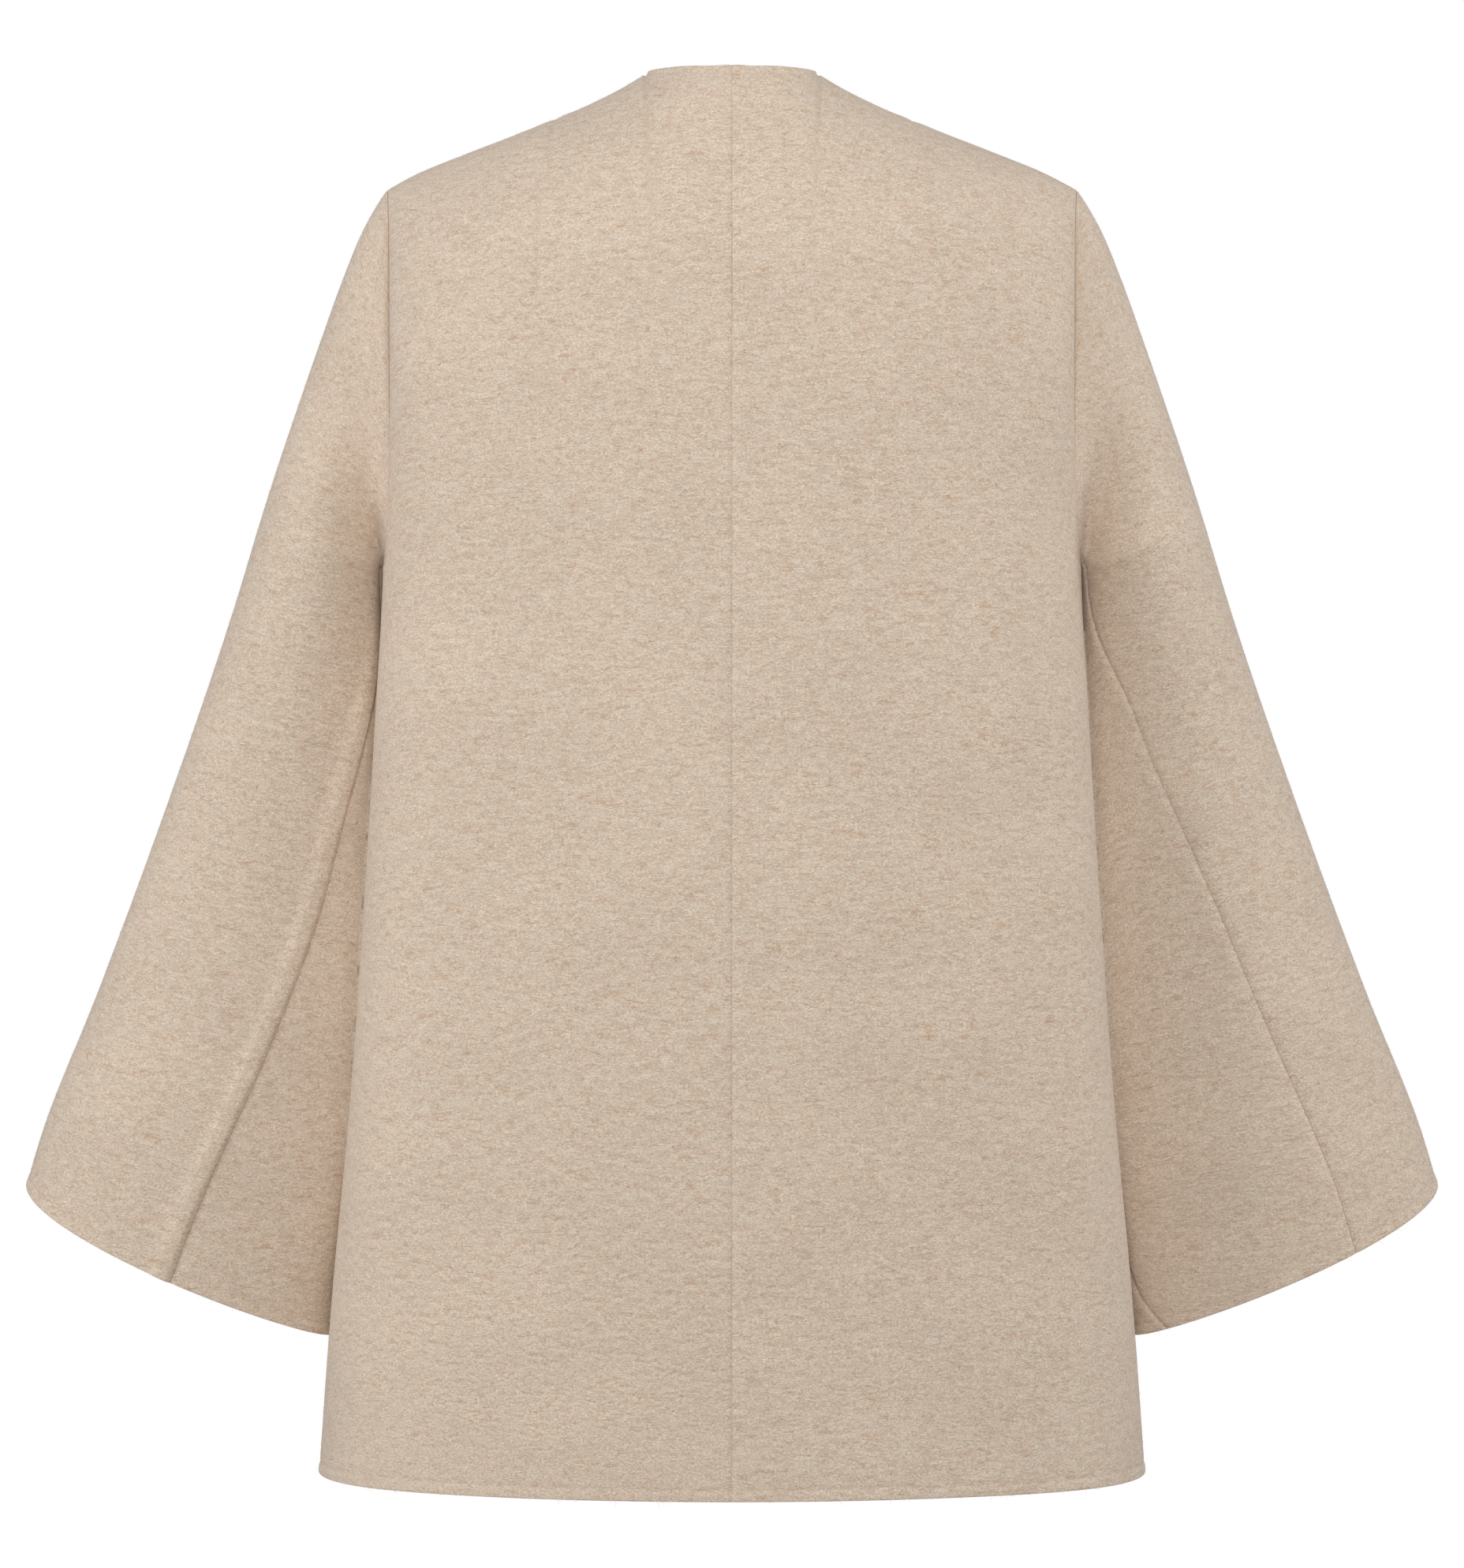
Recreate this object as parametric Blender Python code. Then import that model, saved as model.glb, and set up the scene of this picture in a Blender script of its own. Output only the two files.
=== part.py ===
"""A collarless wool coat, open in front and filled out as if worn, for Blender 4.5.

Metres, +Z up. The coat's front is towards -Y and its left side towards +X. The origin is the
middle of the neck, level with the tops of the shoulder seams, where a neck and shoulders carry it.

Every cut piece is a wall of cloth on one of two surfaces, the body and the sleeve. Each surface is
worked out from the sections and lines named below, and each piece is a grid of points on it.
"""

import math
from collections import namedtuple

import bpy
import numpy as np

# ---------------------------------------------------------------- driving sizes
CLOTH = 0.0022  # double-faced wool
SEAM_GAP = 0.0003  # between two sewn pieces
ARMHOLE_GAP = 0.0006

HEM_Z = -0.804
UNDERARM_Z = -0.285
SHOULDER = (0.1990, -0.0060, -0.0660)  # where shoulder seam and armhole meet
UNDERARM_Y = 0.006
NECK_HALF, NECK_Y = 0.0520, 0.0040
NECK_BACK, NECK_BACK_ROUND = 0.0600, 2.5  # how far back the neckline reaches, and how square it is
NECK_FRONT, NECK_FRONT_ROUND = -0.1000, 2.1
FRONT_OPEN_TOP, FRONT_OPEN_HEM = 0.006, 0.014  # from the centre to each front edge
CUFF_OUT_Z, PIT_OUT_Z = -0.642, -0.262  # the sleeve's outer line, at the cuff and beside the underarm
ROW_DIP = 0.02  # how far the cloth of the sleeve cap turns in as it leaves the armhole

# The body, level by level: half its width, how far it reaches back and forward, where its side
# is widest, and how square each half of the section is. Above the underarm it is cut away at the
# armhole, before the side is reached.
Section = namedtuple("Section", "height half_width back side front back_full front_full")
BODY = (
    Section(-0.804, 0.2372, 0.146, 0.006, -0.142, 0.58, 0.60),
    Section(-0.700, 0.2292, 0.143, 0.011, -0.140, 0.59, 0.60),
    Section(-0.590, 0.2186, 0.139, 0.016, -0.138, 0.60, 0.60),
    Section(-0.480, 0.2107, 0.134, 0.019, -0.135, 0.61, 0.60),
    Section(-0.375, 0.2045, 0.129, 0.017, -0.132, 0.62, 0.60),
    Section(-0.285, 0.2008, 0.124, 0.006, -0.128, 0.63, 0.60),
    Section(-0.210, 0.2080, 0.120, 0.001, -0.121, 0.64, 0.60),
    Section(-0.150, 0.2140, 0.114, -0.001, -0.112, 0.64, 0.60),
)
SIDE_FULL = 0.58
SLEEVE_CLEAR = 0.0018  # between the body's side and a sleeve ring that lies along it
SLEEVE_LEAVES = -0.006  # where the ring leaves the side, from the body's widest line

# The armhole, from the underarm (share 0) up to the shoulder (share 1).
ArmholeWidth = namedtuple("ArmholeWidth", "share half_width")
ARMHOLE = (
    ArmholeWidth(0.00, 0.2008),
    ArmholeWidth(0.12, 0.1996),
    ArmholeWidth(0.25, 0.1970),
    ArmholeWidth(0.50, 0.1950),
    ArmholeWidth(0.75, 0.1962),
    ArmholeWidth(0.90, 0.1980),
    ArmholeWidth(1.00, 0.1990),
)
ARMHOLE_BACK, ARMHOLE_FRONT, ARMHOLE_ROUND = 0.038, 0.054, 2.1
TUCK_FROM = 0.80  # place across the body where it starts to turn in to the armhole

# The shoulder seam, from the neck out. Its first two points are where it would run on over the neck.
ShoulderPoint = namedtuple("ShoulderPoint", "out height")
SHOULDER_SEAM = (
    ShoulderPoint(0.0000, 0.0150),
    ShoulderPoint(0.0300, 0.0105),
    ShoulderPoint(0.0520, 0.0000),
    ShoulderPoint(0.0580, -0.0036),
    ShoulderPoint(0.0700, -0.0110),
    ShoulderPoint(0.0835, -0.0186),
    ShoulderPoint(0.1170, -0.0328),
    ShoulderPoint(0.1530, -0.0466),
    ShoulderPoint(0.1800, -0.0572),
    ShoulderPoint(0.1990, -0.0660),
)

# The sleeve's outer line, which is its outline from behind.
OuterPoint = namedtuple("OuterPoint", "height out")
SLEEVE_OUTER = (
    OuterPoint(-0.0660, 0.1990),
    OuterPoint(-0.0728, 0.2046),
    OuterPoint(-0.0796, 0.2087),
    OuterPoint(-0.0864, 0.2125),
    OuterPoint(-0.0932, 0.2160),
    OuterPoint(-0.1205, 0.2266),
    OuterPoint(-0.1480, 0.2362),
    OuterPoint(-0.2300, 0.2642),
    OuterPoint(-0.3120, 0.2902),
    OuterPoint(-0.4220, 0.3290),
    OuterPoint(-0.5310, 0.3702),
    OuterPoint(-0.6120, 0.4028),
    OuterPoint(-0.6420, 0.4120),
)

# The sleeve's rings, from the cuff (at 0) to the underarm (at 1): its inner line, the depth of
# the outer line, its own depth behind and before them, how its back half hangs lower, and how
# closely it lies along the body's side behind.
Ring = namedtuple("Ring", "at inner_out inner_y inner_z outer_y back front slope close")
SLEEVE = (
    Ring(0.00, 0.2235, -0.047, -0.722, -0.042, 0.0655, 0.062, -0.23, 0.00),
    Ring(0.25, 0.2190, -0.037, -0.615, -0.037, 0.0620, 0.062, -0.16, 0.50),
    Ring(0.50, 0.2120, -0.034, -0.505, -0.031, 0.0570, 0.061, -0.10, 0.85),
    Ring(0.75, 0.2058, -0.024, -0.395, -0.023, 0.0530, 0.060, -0.05, 0.90),
    Ring(0.90, 0.2034, -0.009, -0.329, -0.017, 0.0505, 0.059, -0.02, 0.50),
    Ring(1.00, 0.2022, 0.006, -0.285, -0.013, 0.0500, 0.058, 0.00, 0.00),
)

# Both seams of a sleeve, as places round it: 0 its inner line, 0.25 its back, 0.5 its outer line.
# The right sleeve is turned a little, so its seams show further out.
SleeveSeam = namedtuple("SleeveSeam", "at left_back right_back left_under right_under")
SLEEVE_SEAMS = (
    SleeveSeam(0.000, 0.257, 0.324, 0.975, 1.135),
    SleeveSeam(0.070, 0.248, 0.319, 0.968, 1.062),
    SleeveSeam(0.150, 0.234, 0.308, 0.955, 0.992),
    SleeveSeam(0.250, 0.213, 0.292, 0.940, 0.950),
    SleeveSeam(0.370, 0.183, 0.267, 0.930, 0.935),
    SleeveSeam(0.490, 0.149, 0.230, 0.937, 0.940),
    SleeveSeam(0.600, 0.096, 0.180, 0.960, 0.960),
    SleeveSeam(0.680, 0.040, 0.100, 0.982, 0.982),
    SleeveSeam(0.751, 0.000, 0.000, 1.000, 1.000),
)

# Soft hollows (negative) and swells of the hanging cloth, as ellipses on one half of the body.
Drape = namedtuple("Drape", "name half across height half_across half_height depth")
DRAPES = (
    Drape("between_shoulders", "back", -0.010, -0.270, 0.075, 0.150, -0.0035),
    Drape("below_left_dart", "back", 0.060, -0.540, 0.042, 0.200, -0.0030),
    Drape("below_right_dart", "back", -0.085, -0.600, 0.045, 0.170, -0.0024),
    Drape("left_blade", "back", 0.140, -0.260, 0.045, 0.150, 0.0020),
    Drape("right_blade", "back", -0.145, -0.250, 0.045, 0.140, 0.0018),
    Drape("left_flank", "back", 0.205, -0.560, 0.045, 0.330, 0.0070),
    Drape("right_flank", "back", -0.202, -0.600, 0.050, 0.290, 0.0095),
    Drape("left_front_fall", "front", 0.085, -0.520, 0.050, 0.230, 0.0030),
    Drape("right_front_fall", "front", -0.090, -0.500, 0.050, 0.240, 0.0030),
    Drape("left_front_hollow", "front", 0.160, -0.560, 0.040, 0.190, -0.0025),
    Drape("right_front_hollow", "front", -0.158, -0.590, 0.040, 0.180, -0.0025),
)

# The dart below each shoulder seam, as a groove in the outer face.
DART_ACROSS, DART_END_Z, DART_FADE, DART_DEEP = 0.37, -0.190, 0.030, 0.0007
DART_HALF = 0.022
# The allowance pressed to the outer side of the left sleeve's back seam, which shows as a ridge.
RIDGE_HIGH = 0.0009
RIDGE_STEPS = (0.007, 0.028, 0.040)  # its rise, its far edge and where the sleeve is flat again

# ---------------------------------------------------------------- where each surface is sampled
AT_UNDERARM, AT_YOKE = 0.55, 0.76  # places up the body
YOKE_SHARE = 0.46  # of the armhole, where the yoke begins
YOKE_BACK_Z, YOKE_FRONT_Z = -0.172, -0.182
AT_PIT = 0.70  # place up the sleeve
CAP_SHARE = 0.70  # of the armhole, where the top of the sleeve cap is set in
UNDER_SHARE = 0.12  # of the armhole, on each side, that the under sleeve takes
AT_SEAM_TOP = AT_PIT + (1 - AT_PIT) * UNDER_SHARE / CAP_SHARE
LOWER_ROWS, CAP_HALF, UNDER_HALF = 9, 7, 4
SLEEVE_RISES = (0, 0.09, 0.18, 0.27, 0.36, 0.45, 0.54, 0.63, 0.72, 0.81, 0.88, 0.93, 0.97, 1)  # up the seams
SLEEVE_ROWS = len(SLEEVE_RISES) - 1
LOW_SHARES = (0.19, 0.27, 0.36, 0.46, 0.53, 0.60, 0.655)  # of the armhole, from under sleeve to cap
NECK_PARTS = (0, 0.30, 0.58, 0.80, 0.93, 1)  # of the way across the neckline
SIDE_ACROSS = (0.22, 0.29, 0.348, 0.37, 0.392, 0.47, 0.56, 0.65, 0.74, 0.83, 0.92, 1.0)

CLOTH_COLOUR, CLOTH_ROUGH = (0.62, 0.51, 0.41, 1.0), 0.92
LEFT, RIGHT = 1, -1
BACK, FRONT = 1, -1


# ---------------------------------------------------------------- curves
def smooth(rows, key, name, at):
    """A cubic through the table's values, with no overshoot."""
    table = sorted((getattr(row, key), getattr(row, name)) for row in rows)
    knots, values = np.array(table).T
    step = np.diff(knots)
    slope = np.diff(values) / step
    lean = np.empty_like(values)
    lean[1:-1] = (slope[:-1] * step[1:] + slope[1:] * step[:-1]) / (step[1:] + step[:-1])
    lean[1:-1][slope[:-1] * slope[1:] <= 0] = 0
    lean[0], lean[-1] = slope[0], slope[-1]
    at = np.asarray(at, float)
    i = np.clip(np.searchsorted(knots, at, side="right") - 1, 0, len(step) - 1)
    t = np.clip((at - knots[i]) / step[i], 0, 1)
    rise = (t**3 - 2 * t**2 + t) * lean[i] + (t**3 - t**2) * lean[i + 1]
    return (2 * t**3 - 3 * t**2 + 1) * values[i] + (3 * t**2 - 2 * t**3) * values[i + 1] + step[i] * rise


def bezier(p0, p1, p2, p3, t):
    t = np.asarray(t)[..., None]
    return (1 - t) ** 3 * p0 + 3 * (1 - t) ** 2 * t * p1 + 3 * (1 - t) * t**2 * p2 + t**3 * p3


def hermite(start, leave, arrive, end, t):
    return bezier(start, start + leave / 3, end - arrive / 3, end, t)


def vector(x, y, z):
    return np.stack(np.broadcast_arrays(np.asarray(x, float), y, z), -1)


def unit(a):
    return a / np.maximum(np.linalg.norm(a, axis=-1, keepdims=True), 1e-12)


def ease(t):
    t = np.clip(t, 0, 1)
    return t * t * (3 - 2 * t)


# ---------------------------------------------------------------- the body's surface
def armhole(half, share):
    """The armhole's seam line, from the underarm (share 0) to the shoulder (share 1)."""
    share = np.asarray(share, float)
    turn = share * math.pi
    middle, reach = (SHOULDER[2] + UNDERARM_Z) / 2, (SHOULDER[2] - UNDERARM_Z) / 2
    power = 2 / ARMHOLE_ROUND
    z = middle - reach * np.sign(np.cos(turn)) * np.abs(np.cos(turn)) ** power
    climb = (z - UNDERARM_Z) / (SHOULDER[2] - UNDERARM_Z)
    deep = ARMHOLE_BACK if half == BACK else ARMHOLE_FRONT
    y = UNDERARM_Y + (SHOULDER[1] - UNDERARM_Y) * climb + half * deep * np.clip(np.sin(turn), 0, 1) ** power
    return vector(smooth(ARMHOLE, "share", "half_width", share), y, z)


def section(half, z, t):
    """A level section of the untrimmed body; t runs from the centre to the side."""
    side_y = smooth(BODY, "height", "side", z)
    deep = smooth(BODY, "height", "back" if half == BACK else "front", z)
    full = smooth(BODY, "height", "back_full" if half == BACK else "front_full", z)
    open_x = FRONT_OPEN_HEM + (FRONT_OPEN_TOP - FRONT_OPEN_HEM) * (z - HEM_Z) / -HEM_Z
    centre = vector(0 * z if half == BACK else open_x, deep, z)
    side = vector(smooth(BODY, "height", "half_width", z), side_y, z)
    out = full * (side[..., 0] - centre[..., 0])
    along = SIDE_FULL * (deep - side_y)
    return bezier(centre, centre + vector(out, 0, 0), side + vector(0, along, 0), side, t)


def place_at_depth(half, y, z):
    """Where along a section the cloth is at this depth, by halving."""
    low, high = np.zeros(np.shape(y)), np.ones(np.shape(y))
    for _ in range(24):
        middle = (low + high) / 2
        further = half * (section(half, z, middle)[..., 1] - y) > 0
        low, high = np.where(further, middle, low), np.where(further, high, middle)
    return (low + high) / 2


def body_row(half, up, t):
    """A point on a row of the body below the yoke; t runs from the centre to the side."""
    up, t = np.broadcast_arrays(np.asarray(up, float), np.asarray(t, float))
    climb = (up - AT_UNDERARM) / (AT_YOKE - AT_UNDERARM)
    edge = armhole(half, np.clip(climb, 0, 1) * YOKE_SHARE)
    yoke_z = YOKE_BACK_Z if half == BACK else YOKE_FRONT_Z
    low_z = HEM_Z + (UNDERARM_Z - HEM_Z) * np.clip(up / AT_UNDERARM, 0, 1)
    trimmed = up > AT_UNDERARM
    z = np.where(trimmed, UNDERARM_Z + (yoke_z - UNDERARM_Z) * climb, low_z)
    z = np.where(trimmed, z + (edge[..., 2] - z) * t**2, z)
    last = np.where(trimmed, place_at_depth(half, edge[..., 1], edge[..., 2]), 1.0)
    untucked = section(half, np.where(trimmed, edge[..., 2], z), last)
    tuck = np.where(trimmed[..., None], edge - untucked, 0)
    turned = np.clip((t - TUCK_FROM) / (1 - TUCK_FROM), 0, 1) ** 2
    return section(half, z, t * last) + tuck * turned[..., None]


def shoulder_seam(x):
    share = np.clip((x - NECK_HALF) / (SHOULDER[0] - NECK_HALF), 0, 1)
    return vector(x, NECK_Y + (SHOULDER[1] - NECK_Y) * share, smooth(SHOULDER_SEAM, "out", "height", x))


def neckline_depth(half, x):
    """How far back or forward the neckline is, seen from above."""
    reach, power = (NECK_BACK, NECK_BACK_ROUND) if half == BACK else (NECK_FRONT, NECK_FRONT_ROUND)
    return NECK_Y + (reach - NECK_Y) * (1 - np.clip(x / NECK_HALF, 0, 1) ** power) ** (1 / power)


def width_share(t):
    """How far across the body t is."""
    full = 0.62
    return 3 * (1 - t) ** 2 * t * full + 3 * (1 - t) * t**2 + t**3


_steps = np.linspace(0, 1, 400)
NECK_T = float(np.interp(NECK_HALF / SHOULDER[0], width_share(_steps), _steps))


def yoke(half, q, t):
    """From the yoke's level (q 0) over the shoulder to its seam, or to the neckline (q 1)."""
    q, t = np.broadcast_arrays(np.asarray(q, float), np.asarray(t, float))
    base = np.full(t.shape, AT_YOKE)

    def bow(place, t):
        """The column at t, run on over the neck as if there were no neckline."""
        low = body_row(half, base, t)
        rise = unit(low - body_row(half, base - 0.01, t))
        top = shoulder_seam(SHOULDER[0] * width_share(t))
        far = np.linalg.norm(top - low, axis=-1, keepdims=True)
        return hermite(low, rise * far * 1.25, vector(0, -half, -0.04) * far * 1.15, top, place)

    low, high = np.zeros(t.shape), np.ones(t.shape)
    for _ in range(24):
        middle = (low + high) / 2
        point = bow(middle, t)
        outside = half * (point[..., 1] - neckline_depth(half, point[..., 0])) > 0
        low, high = np.where(outside, middle, low), np.where(outside, high, middle)
    end = np.where(t < NECK_T, high, 1)
    pull = armhole(half, YOKE_SHARE + (1 - YOKE_SHARE) * q) - bow(q, np.ones(t.shape))
    return bow(q * end, t) + pull * (width_share(t) ** 5)[..., None]


def body(half, up, t):
    up, t = np.broadcast_arrays(np.asarray(up, float), np.asarray(t, float))
    low = body_row(half, np.minimum(up, AT_YOKE), t)
    high = yoke(half, np.clip((up - AT_YOKE) / (1 - AT_YOKE), 0, 1), t)
    return np.where((up <= AT_YOKE)[..., None], low, high)


# ---------------------------------------------------------------- the sleeve's surface
def sleeve(up, u):
    """A point of the left sleeve: up from the cuff to the cap, u once round from the inner line."""
    up, u = np.broadcast_arrays(np.asarray(up, float), np.asarray(u, float))
    u = np.where((u < 0) | (u > 1), u % 1, u)
    at = np.clip(up / AT_PIT, 0, 1)
    cap = np.clip((up - AT_PIT) / (1 - AT_PIT), 0, 1)
    on_cap = up > AT_PIT

    def ring(name):
        return smooth(SLEEVE, "at", name, at)

    cap_z = PIT_OUT_Z + (SHOULDER[2] - PIT_OUT_Z) * (1 - (1 - cap) ** 1.15)
    outer_z = np.where(on_cap, cap_z, CUFF_OUT_Z + (PIT_OUT_Z - CUFF_OUT_Z) * at)
    outer_y = ring("outer_y") + (SHOULDER[1] - ring("outer_y")) * cap
    outer = vector(smooth(SLEEVE_OUTER, "height", "out", outer_z), outer_y, outer_z)
    inner = vector(ring("inner_out"), ring("inner_y"), ring("inner_z"))
    share = cap * CAP_SHARE
    # Above the underarm a ring is cut off at the armhole, and opens into a row that leaves it outwards.
    cut = (1 - np.sqrt(1 - np.clip(np.sin(share * math.pi), 0, 1) ** (2 / ARMHOLE_ROUND))) / 2
    cut = np.where(on_cap, np.where(share > 0.5, 0.5, cut), 0)
    opened = ease(2 * cut)
    halves = []
    for half in (BACK, FRONT):
        start = np.where(on_cap[..., None], armhole(half, share), inner)
        deep = ring("back" if half == BACK else "front")
        depth = vector(0 * deep, half, half * ring("slope")) * (4 / 3 * deep)[..., None]
        leave = (1 - cut)[..., None] ** 2 * depth + (2 * cut * (1 - cut))[..., None] * (outer - inner)
        leave = (leave - (cut**2)[..., None] * depth) * (1 - cut)[..., None]
        wide = np.linalg.norm(outer - start, axis=-1)
        away = unit((outer - start) * [1, 0, 1] + vector(0, -half * ROW_DIP * wide, 0))
        away = away * (0.58 * wide)[..., None]
        leave = leave + (away - leave) * opened[..., None]
        square = vector(0 * deep, half * 0.62 * np.abs(start[..., 1] - outer[..., 1]), 0)
        arrive = depth * (1 - cut)[..., None]
        arrive = arrive + (square - arrive) * opened[..., None]
        t = np.clip(2 * u if half == BACK else 2 * (1 - u), 0, 1)
        row = bezier(start, start + leave, outer + arrive, outer, t)
        # Behind, a ring lies close along the body's side, and leaves it just in front of its widest line.
        if half == BACK:
            height = start[..., 2]
            leaves = smooth(BODY, "height", "side", height) + SLEEVE_LEAVES
            beside = smooth(BODY, "height", "half_width", height) + SLEEVE_CLEAR
            corner = vector(beside, leaves, height + (leaves - start[..., 1]) * ring("slope"))
            pull = ring("close") * 17.6 * t * (1 - t) ** 6 * (1 - opened)
            row = row + (corner - row) * pull[..., None]
        set_in = armhole(half, CAP_SHARE + (1 - CAP_SHARE) * t)
        halves.append(row + (set_in - row) * (cap**6)[..., None])
    return np.where((u < 0.5)[..., None], halves[0], halves[1])


# ---------------------------------------------------------------- grids of the cut pieces
def side_shares():
    """Shares of the armhole that both the body and the sleeve have a point at, from the underarm up."""
    under = [UNDER_SHARE * k / UNDER_HALF for k in range(UNDER_HALF + 1)]
    return under + list(LOW_SHARES), [CAP_SHARE + (1 - CAP_SHARE) * 2 * c for c in cap_columns() if c <= 0.5]


def cap_columns():
    """Places across the upper sleeve, alike from both seams, with close ones where a ridge may run."""
    near = list(RIDGE_STEPS) + [k / (2 * CAP_HALF) for k in range(CAP_HALF)]
    return sorted(near + [0.5] + [1 - place for place in near])


def body_grid(half):
    low, high = side_shares()
    up = [AT_UNDERARM * k / LOWER_ROWS for k in range(LOWER_ROWS)]
    below_yoke = [share for share in low if share <= YOKE_SHARE]
    up += [AT_UNDERARM + (AT_YOKE - AT_UNDERARM) * share / YOKE_SHARE for share in below_yoke]
    over_yoke = [share for share in low + high if share > YOKE_SHARE]
    up += [AT_YOKE + (1 - AT_YOKE) * (share - YOKE_SHARE) / (1 - YOKE_SHARE) for share in over_yoke]
    t = [NECK_T * part for part in NECK_PARTS] + list(SIDE_ACROSS)
    return np.meshgrid(up, t, indexing="ij")


def seam_place(side, name, up):
    return smooth(SLEEVE_SEAMS, "at", ("left_" if side == LEFT else "right_") + name, up)


def upper_grid(side):
    low, _ = side_shares()
    up = [AT_SEAM_TOP * rise for rise in SLEEVE_RISES]
    up += [AT_PIT + (1 - AT_PIT) * share / CAP_SHARE for share in low if share > UNDER_SHARE + 1e-6]
    up += [1.0]
    up, across = np.meshgrid(up, cap_columns(), indexing="ij")
    first = np.where(up < AT_SEAM_TOP, seam_place(side, "back", up), 0)
    last = np.where(up < AT_SEAM_TOP, seam_place(side, "under", up), 1)
    return up, first + (last - first) * across, across


def under_grid(side):
    rise, across = np.meshgrid(SLEEVE_RISES, np.linspace(0, 1, 2 * UNDER_HALF + 1), indexing="ij")
    up = rise * (AT_PIT + (AT_SEAM_TOP - AT_PIT) * np.abs(2 * across - 1))
    first = seam_place(side, "under", rise * AT_SEAM_TOP) - 1
    last = seam_place(side, "back", rise * AT_SEAM_TOP)
    u = first + (last - first) * across
    u[-1] = np.where(across[-1] < 0.5, 1, 0)
    return up, u


# ---------------------------------------------------------------- pieces as walls
def facing(surface, up, across):
    """The surface's outward normals, from small steps down and towards its middle."""
    step = 1e-4
    down = np.where(up > step, -step, step)
    in_ = np.where(across % 1 < 0.5, step, -step)
    in_ = np.where(across == 1, -step, in_)
    here = surface(up, across)
    rise = (surface(up + down, across) - here) / down[..., None]
    run = (surface(up, across + in_) - here) / in_[..., None]
    return unit(np.cross(rise, run))


class Piece:
    """One cut piece: a grid of outer points, and for each the way in to its inner point."""

    def __init__(self, name, points, normal):
        self.name, self.points, self.normal = name, points, normal
        turned = np.cross(np.gradient(points, axis=0), np.gradient(points, axis=1))
        self.sign = 1 if (turned * normal).sum() > 0 else -1
        self.inward = -self.normal
        self.raised = np.zeros(points.shape[:2])
        self.moved = np.zeros(points.shape)

    def edge(self, where):
        """Row and column numbers along an edge, bottom to top or first to last column."""
        rows, columns = self.points.shape[:2]
        i, j = np.arange(rows), np.arange(columns)
        return {
            "first": (i, 0 * i),
            "last": (i, 0 * i + columns - 1),
            "bottom": (0 * j, j),
            "top": (0 * j + rows - 1, j),
        }[where]

    def into(self, at):
        """Unit vectors from an edge's points into the piece, square to the edge."""
        rows, columns = self.points.shape[:2]
        i, j = at
        if np.all(j == j[0]) and len(i) > 1:
            inner = (i, np.where(j == 0, 1, columns - 2))
        else:
            inner = (np.where(i == 0, 1, rows - 2), j)
        line = self.points[at]
        way = self.points[inner] - line
        along = unit(np.gradient(line, axis=0))
        return unit(way - (way * along).sum(-1, keepdims=True) * along)


def part_of(at, chosen):
    return at[0][chosen], at[1][chosen]


def sew(a, at_a, b, at_b, gap=SEAM_GAP):
    """Sets two pieces apart at a seam whose points they share, and gives their edges one slant."""
    ways = a.into(at_a), b.into(at_b)
    normals = -a.inward[at_a], -b.inward[at_b]
    turn = (normals[0] * normals[1]).sum(-1, keepdims=True)
    middle = unit(normals[0] + normals[1])
    lean = np.clip((middle * normals[0]).sum(-1, keepdims=True), 0.5, 1)
    sharp_valley = (turn < 0) & ((ways[1] * normals[0]).sum(-1, keepdims=True) > -0.1)
    for piece, at, normal, way in ((a, at_a, normals[0], ways[0]), (b, at_b, normals[1], ways[1])):
        piece.inward[at] = -np.where(sharp_valley, normal, middle / lean)
        piece.moved[at] += way * gap / 2
    b.moved[at_b] += normals[0] * gap * np.clip(-turn, 0, 1)


def drape(half, points):
    """How far the hanging cloth swells out or in at these points."""
    name = "back" if half == BACK else "front"
    out = np.zeros(points.shape[:-1])
    for row in DRAPES:
        if row.half == name:
            x = (points[..., 0] - row.across) / row.half_across
            z = (points[..., 2] - row.height) / row.half_height
            out += row.depth * np.exp(-(x**2) - z**2)
    return out


def mirrored(points, side):
    return points * [side, 1, 1]


def body_piece(side, half):
    up, t = body_grid(half)
    points = mirrored(body(half, up, t), side)
    name = ("back_" if half == BACK else "front_") + ("left" if side == LEFT else "right")
    normal = facing(lambda a, b: body(half, a, b), up, t) * half
    piece = Piece(name, points, mirrored(normal, side))
    clear = np.clip((1 - t) / 0.35, 0, 1)
    piece.points = points + piece.normal * (drape(half, points) * ease(clear))[..., None]
    if half == BACK:
        beside = np.clip(1 - np.abs(t - DART_ACROSS) / DART_HALF, 0, 1)
        piece.raised = -DART_DEEP * beside * ease((points[..., 2] - DART_END_Z) / DART_FADE)
    return piece


def upper_piece(side):
    up, u, across = upper_grid(side)
    name = "sleeve_upper_" + ("left" if side == LEFT else "right")
    piece = Piece(name, mirrored(sleeve(up, u), side), mirrored(facing(sleeve, up, u), side))
    if side == LEFT:
        rise, edge, end = RIDGE_STEPS
        profile = np.interp(across, [0, rise, edge, end, 1], [0.4, 1, 1, 0, 0])
        piece.raised = RIDGE_HIGH * profile * ease((AT_PIT - up) / 0.08)
    return piece


def under_piece(side):
    up, u = under_grid(side)
    name = "sleeve_under_" + ("left" if side == LEFT else "right")
    return Piece(name, mirrored(sleeve(up, u), side), mirrored(facing(sleeve, up, u), side))


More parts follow.
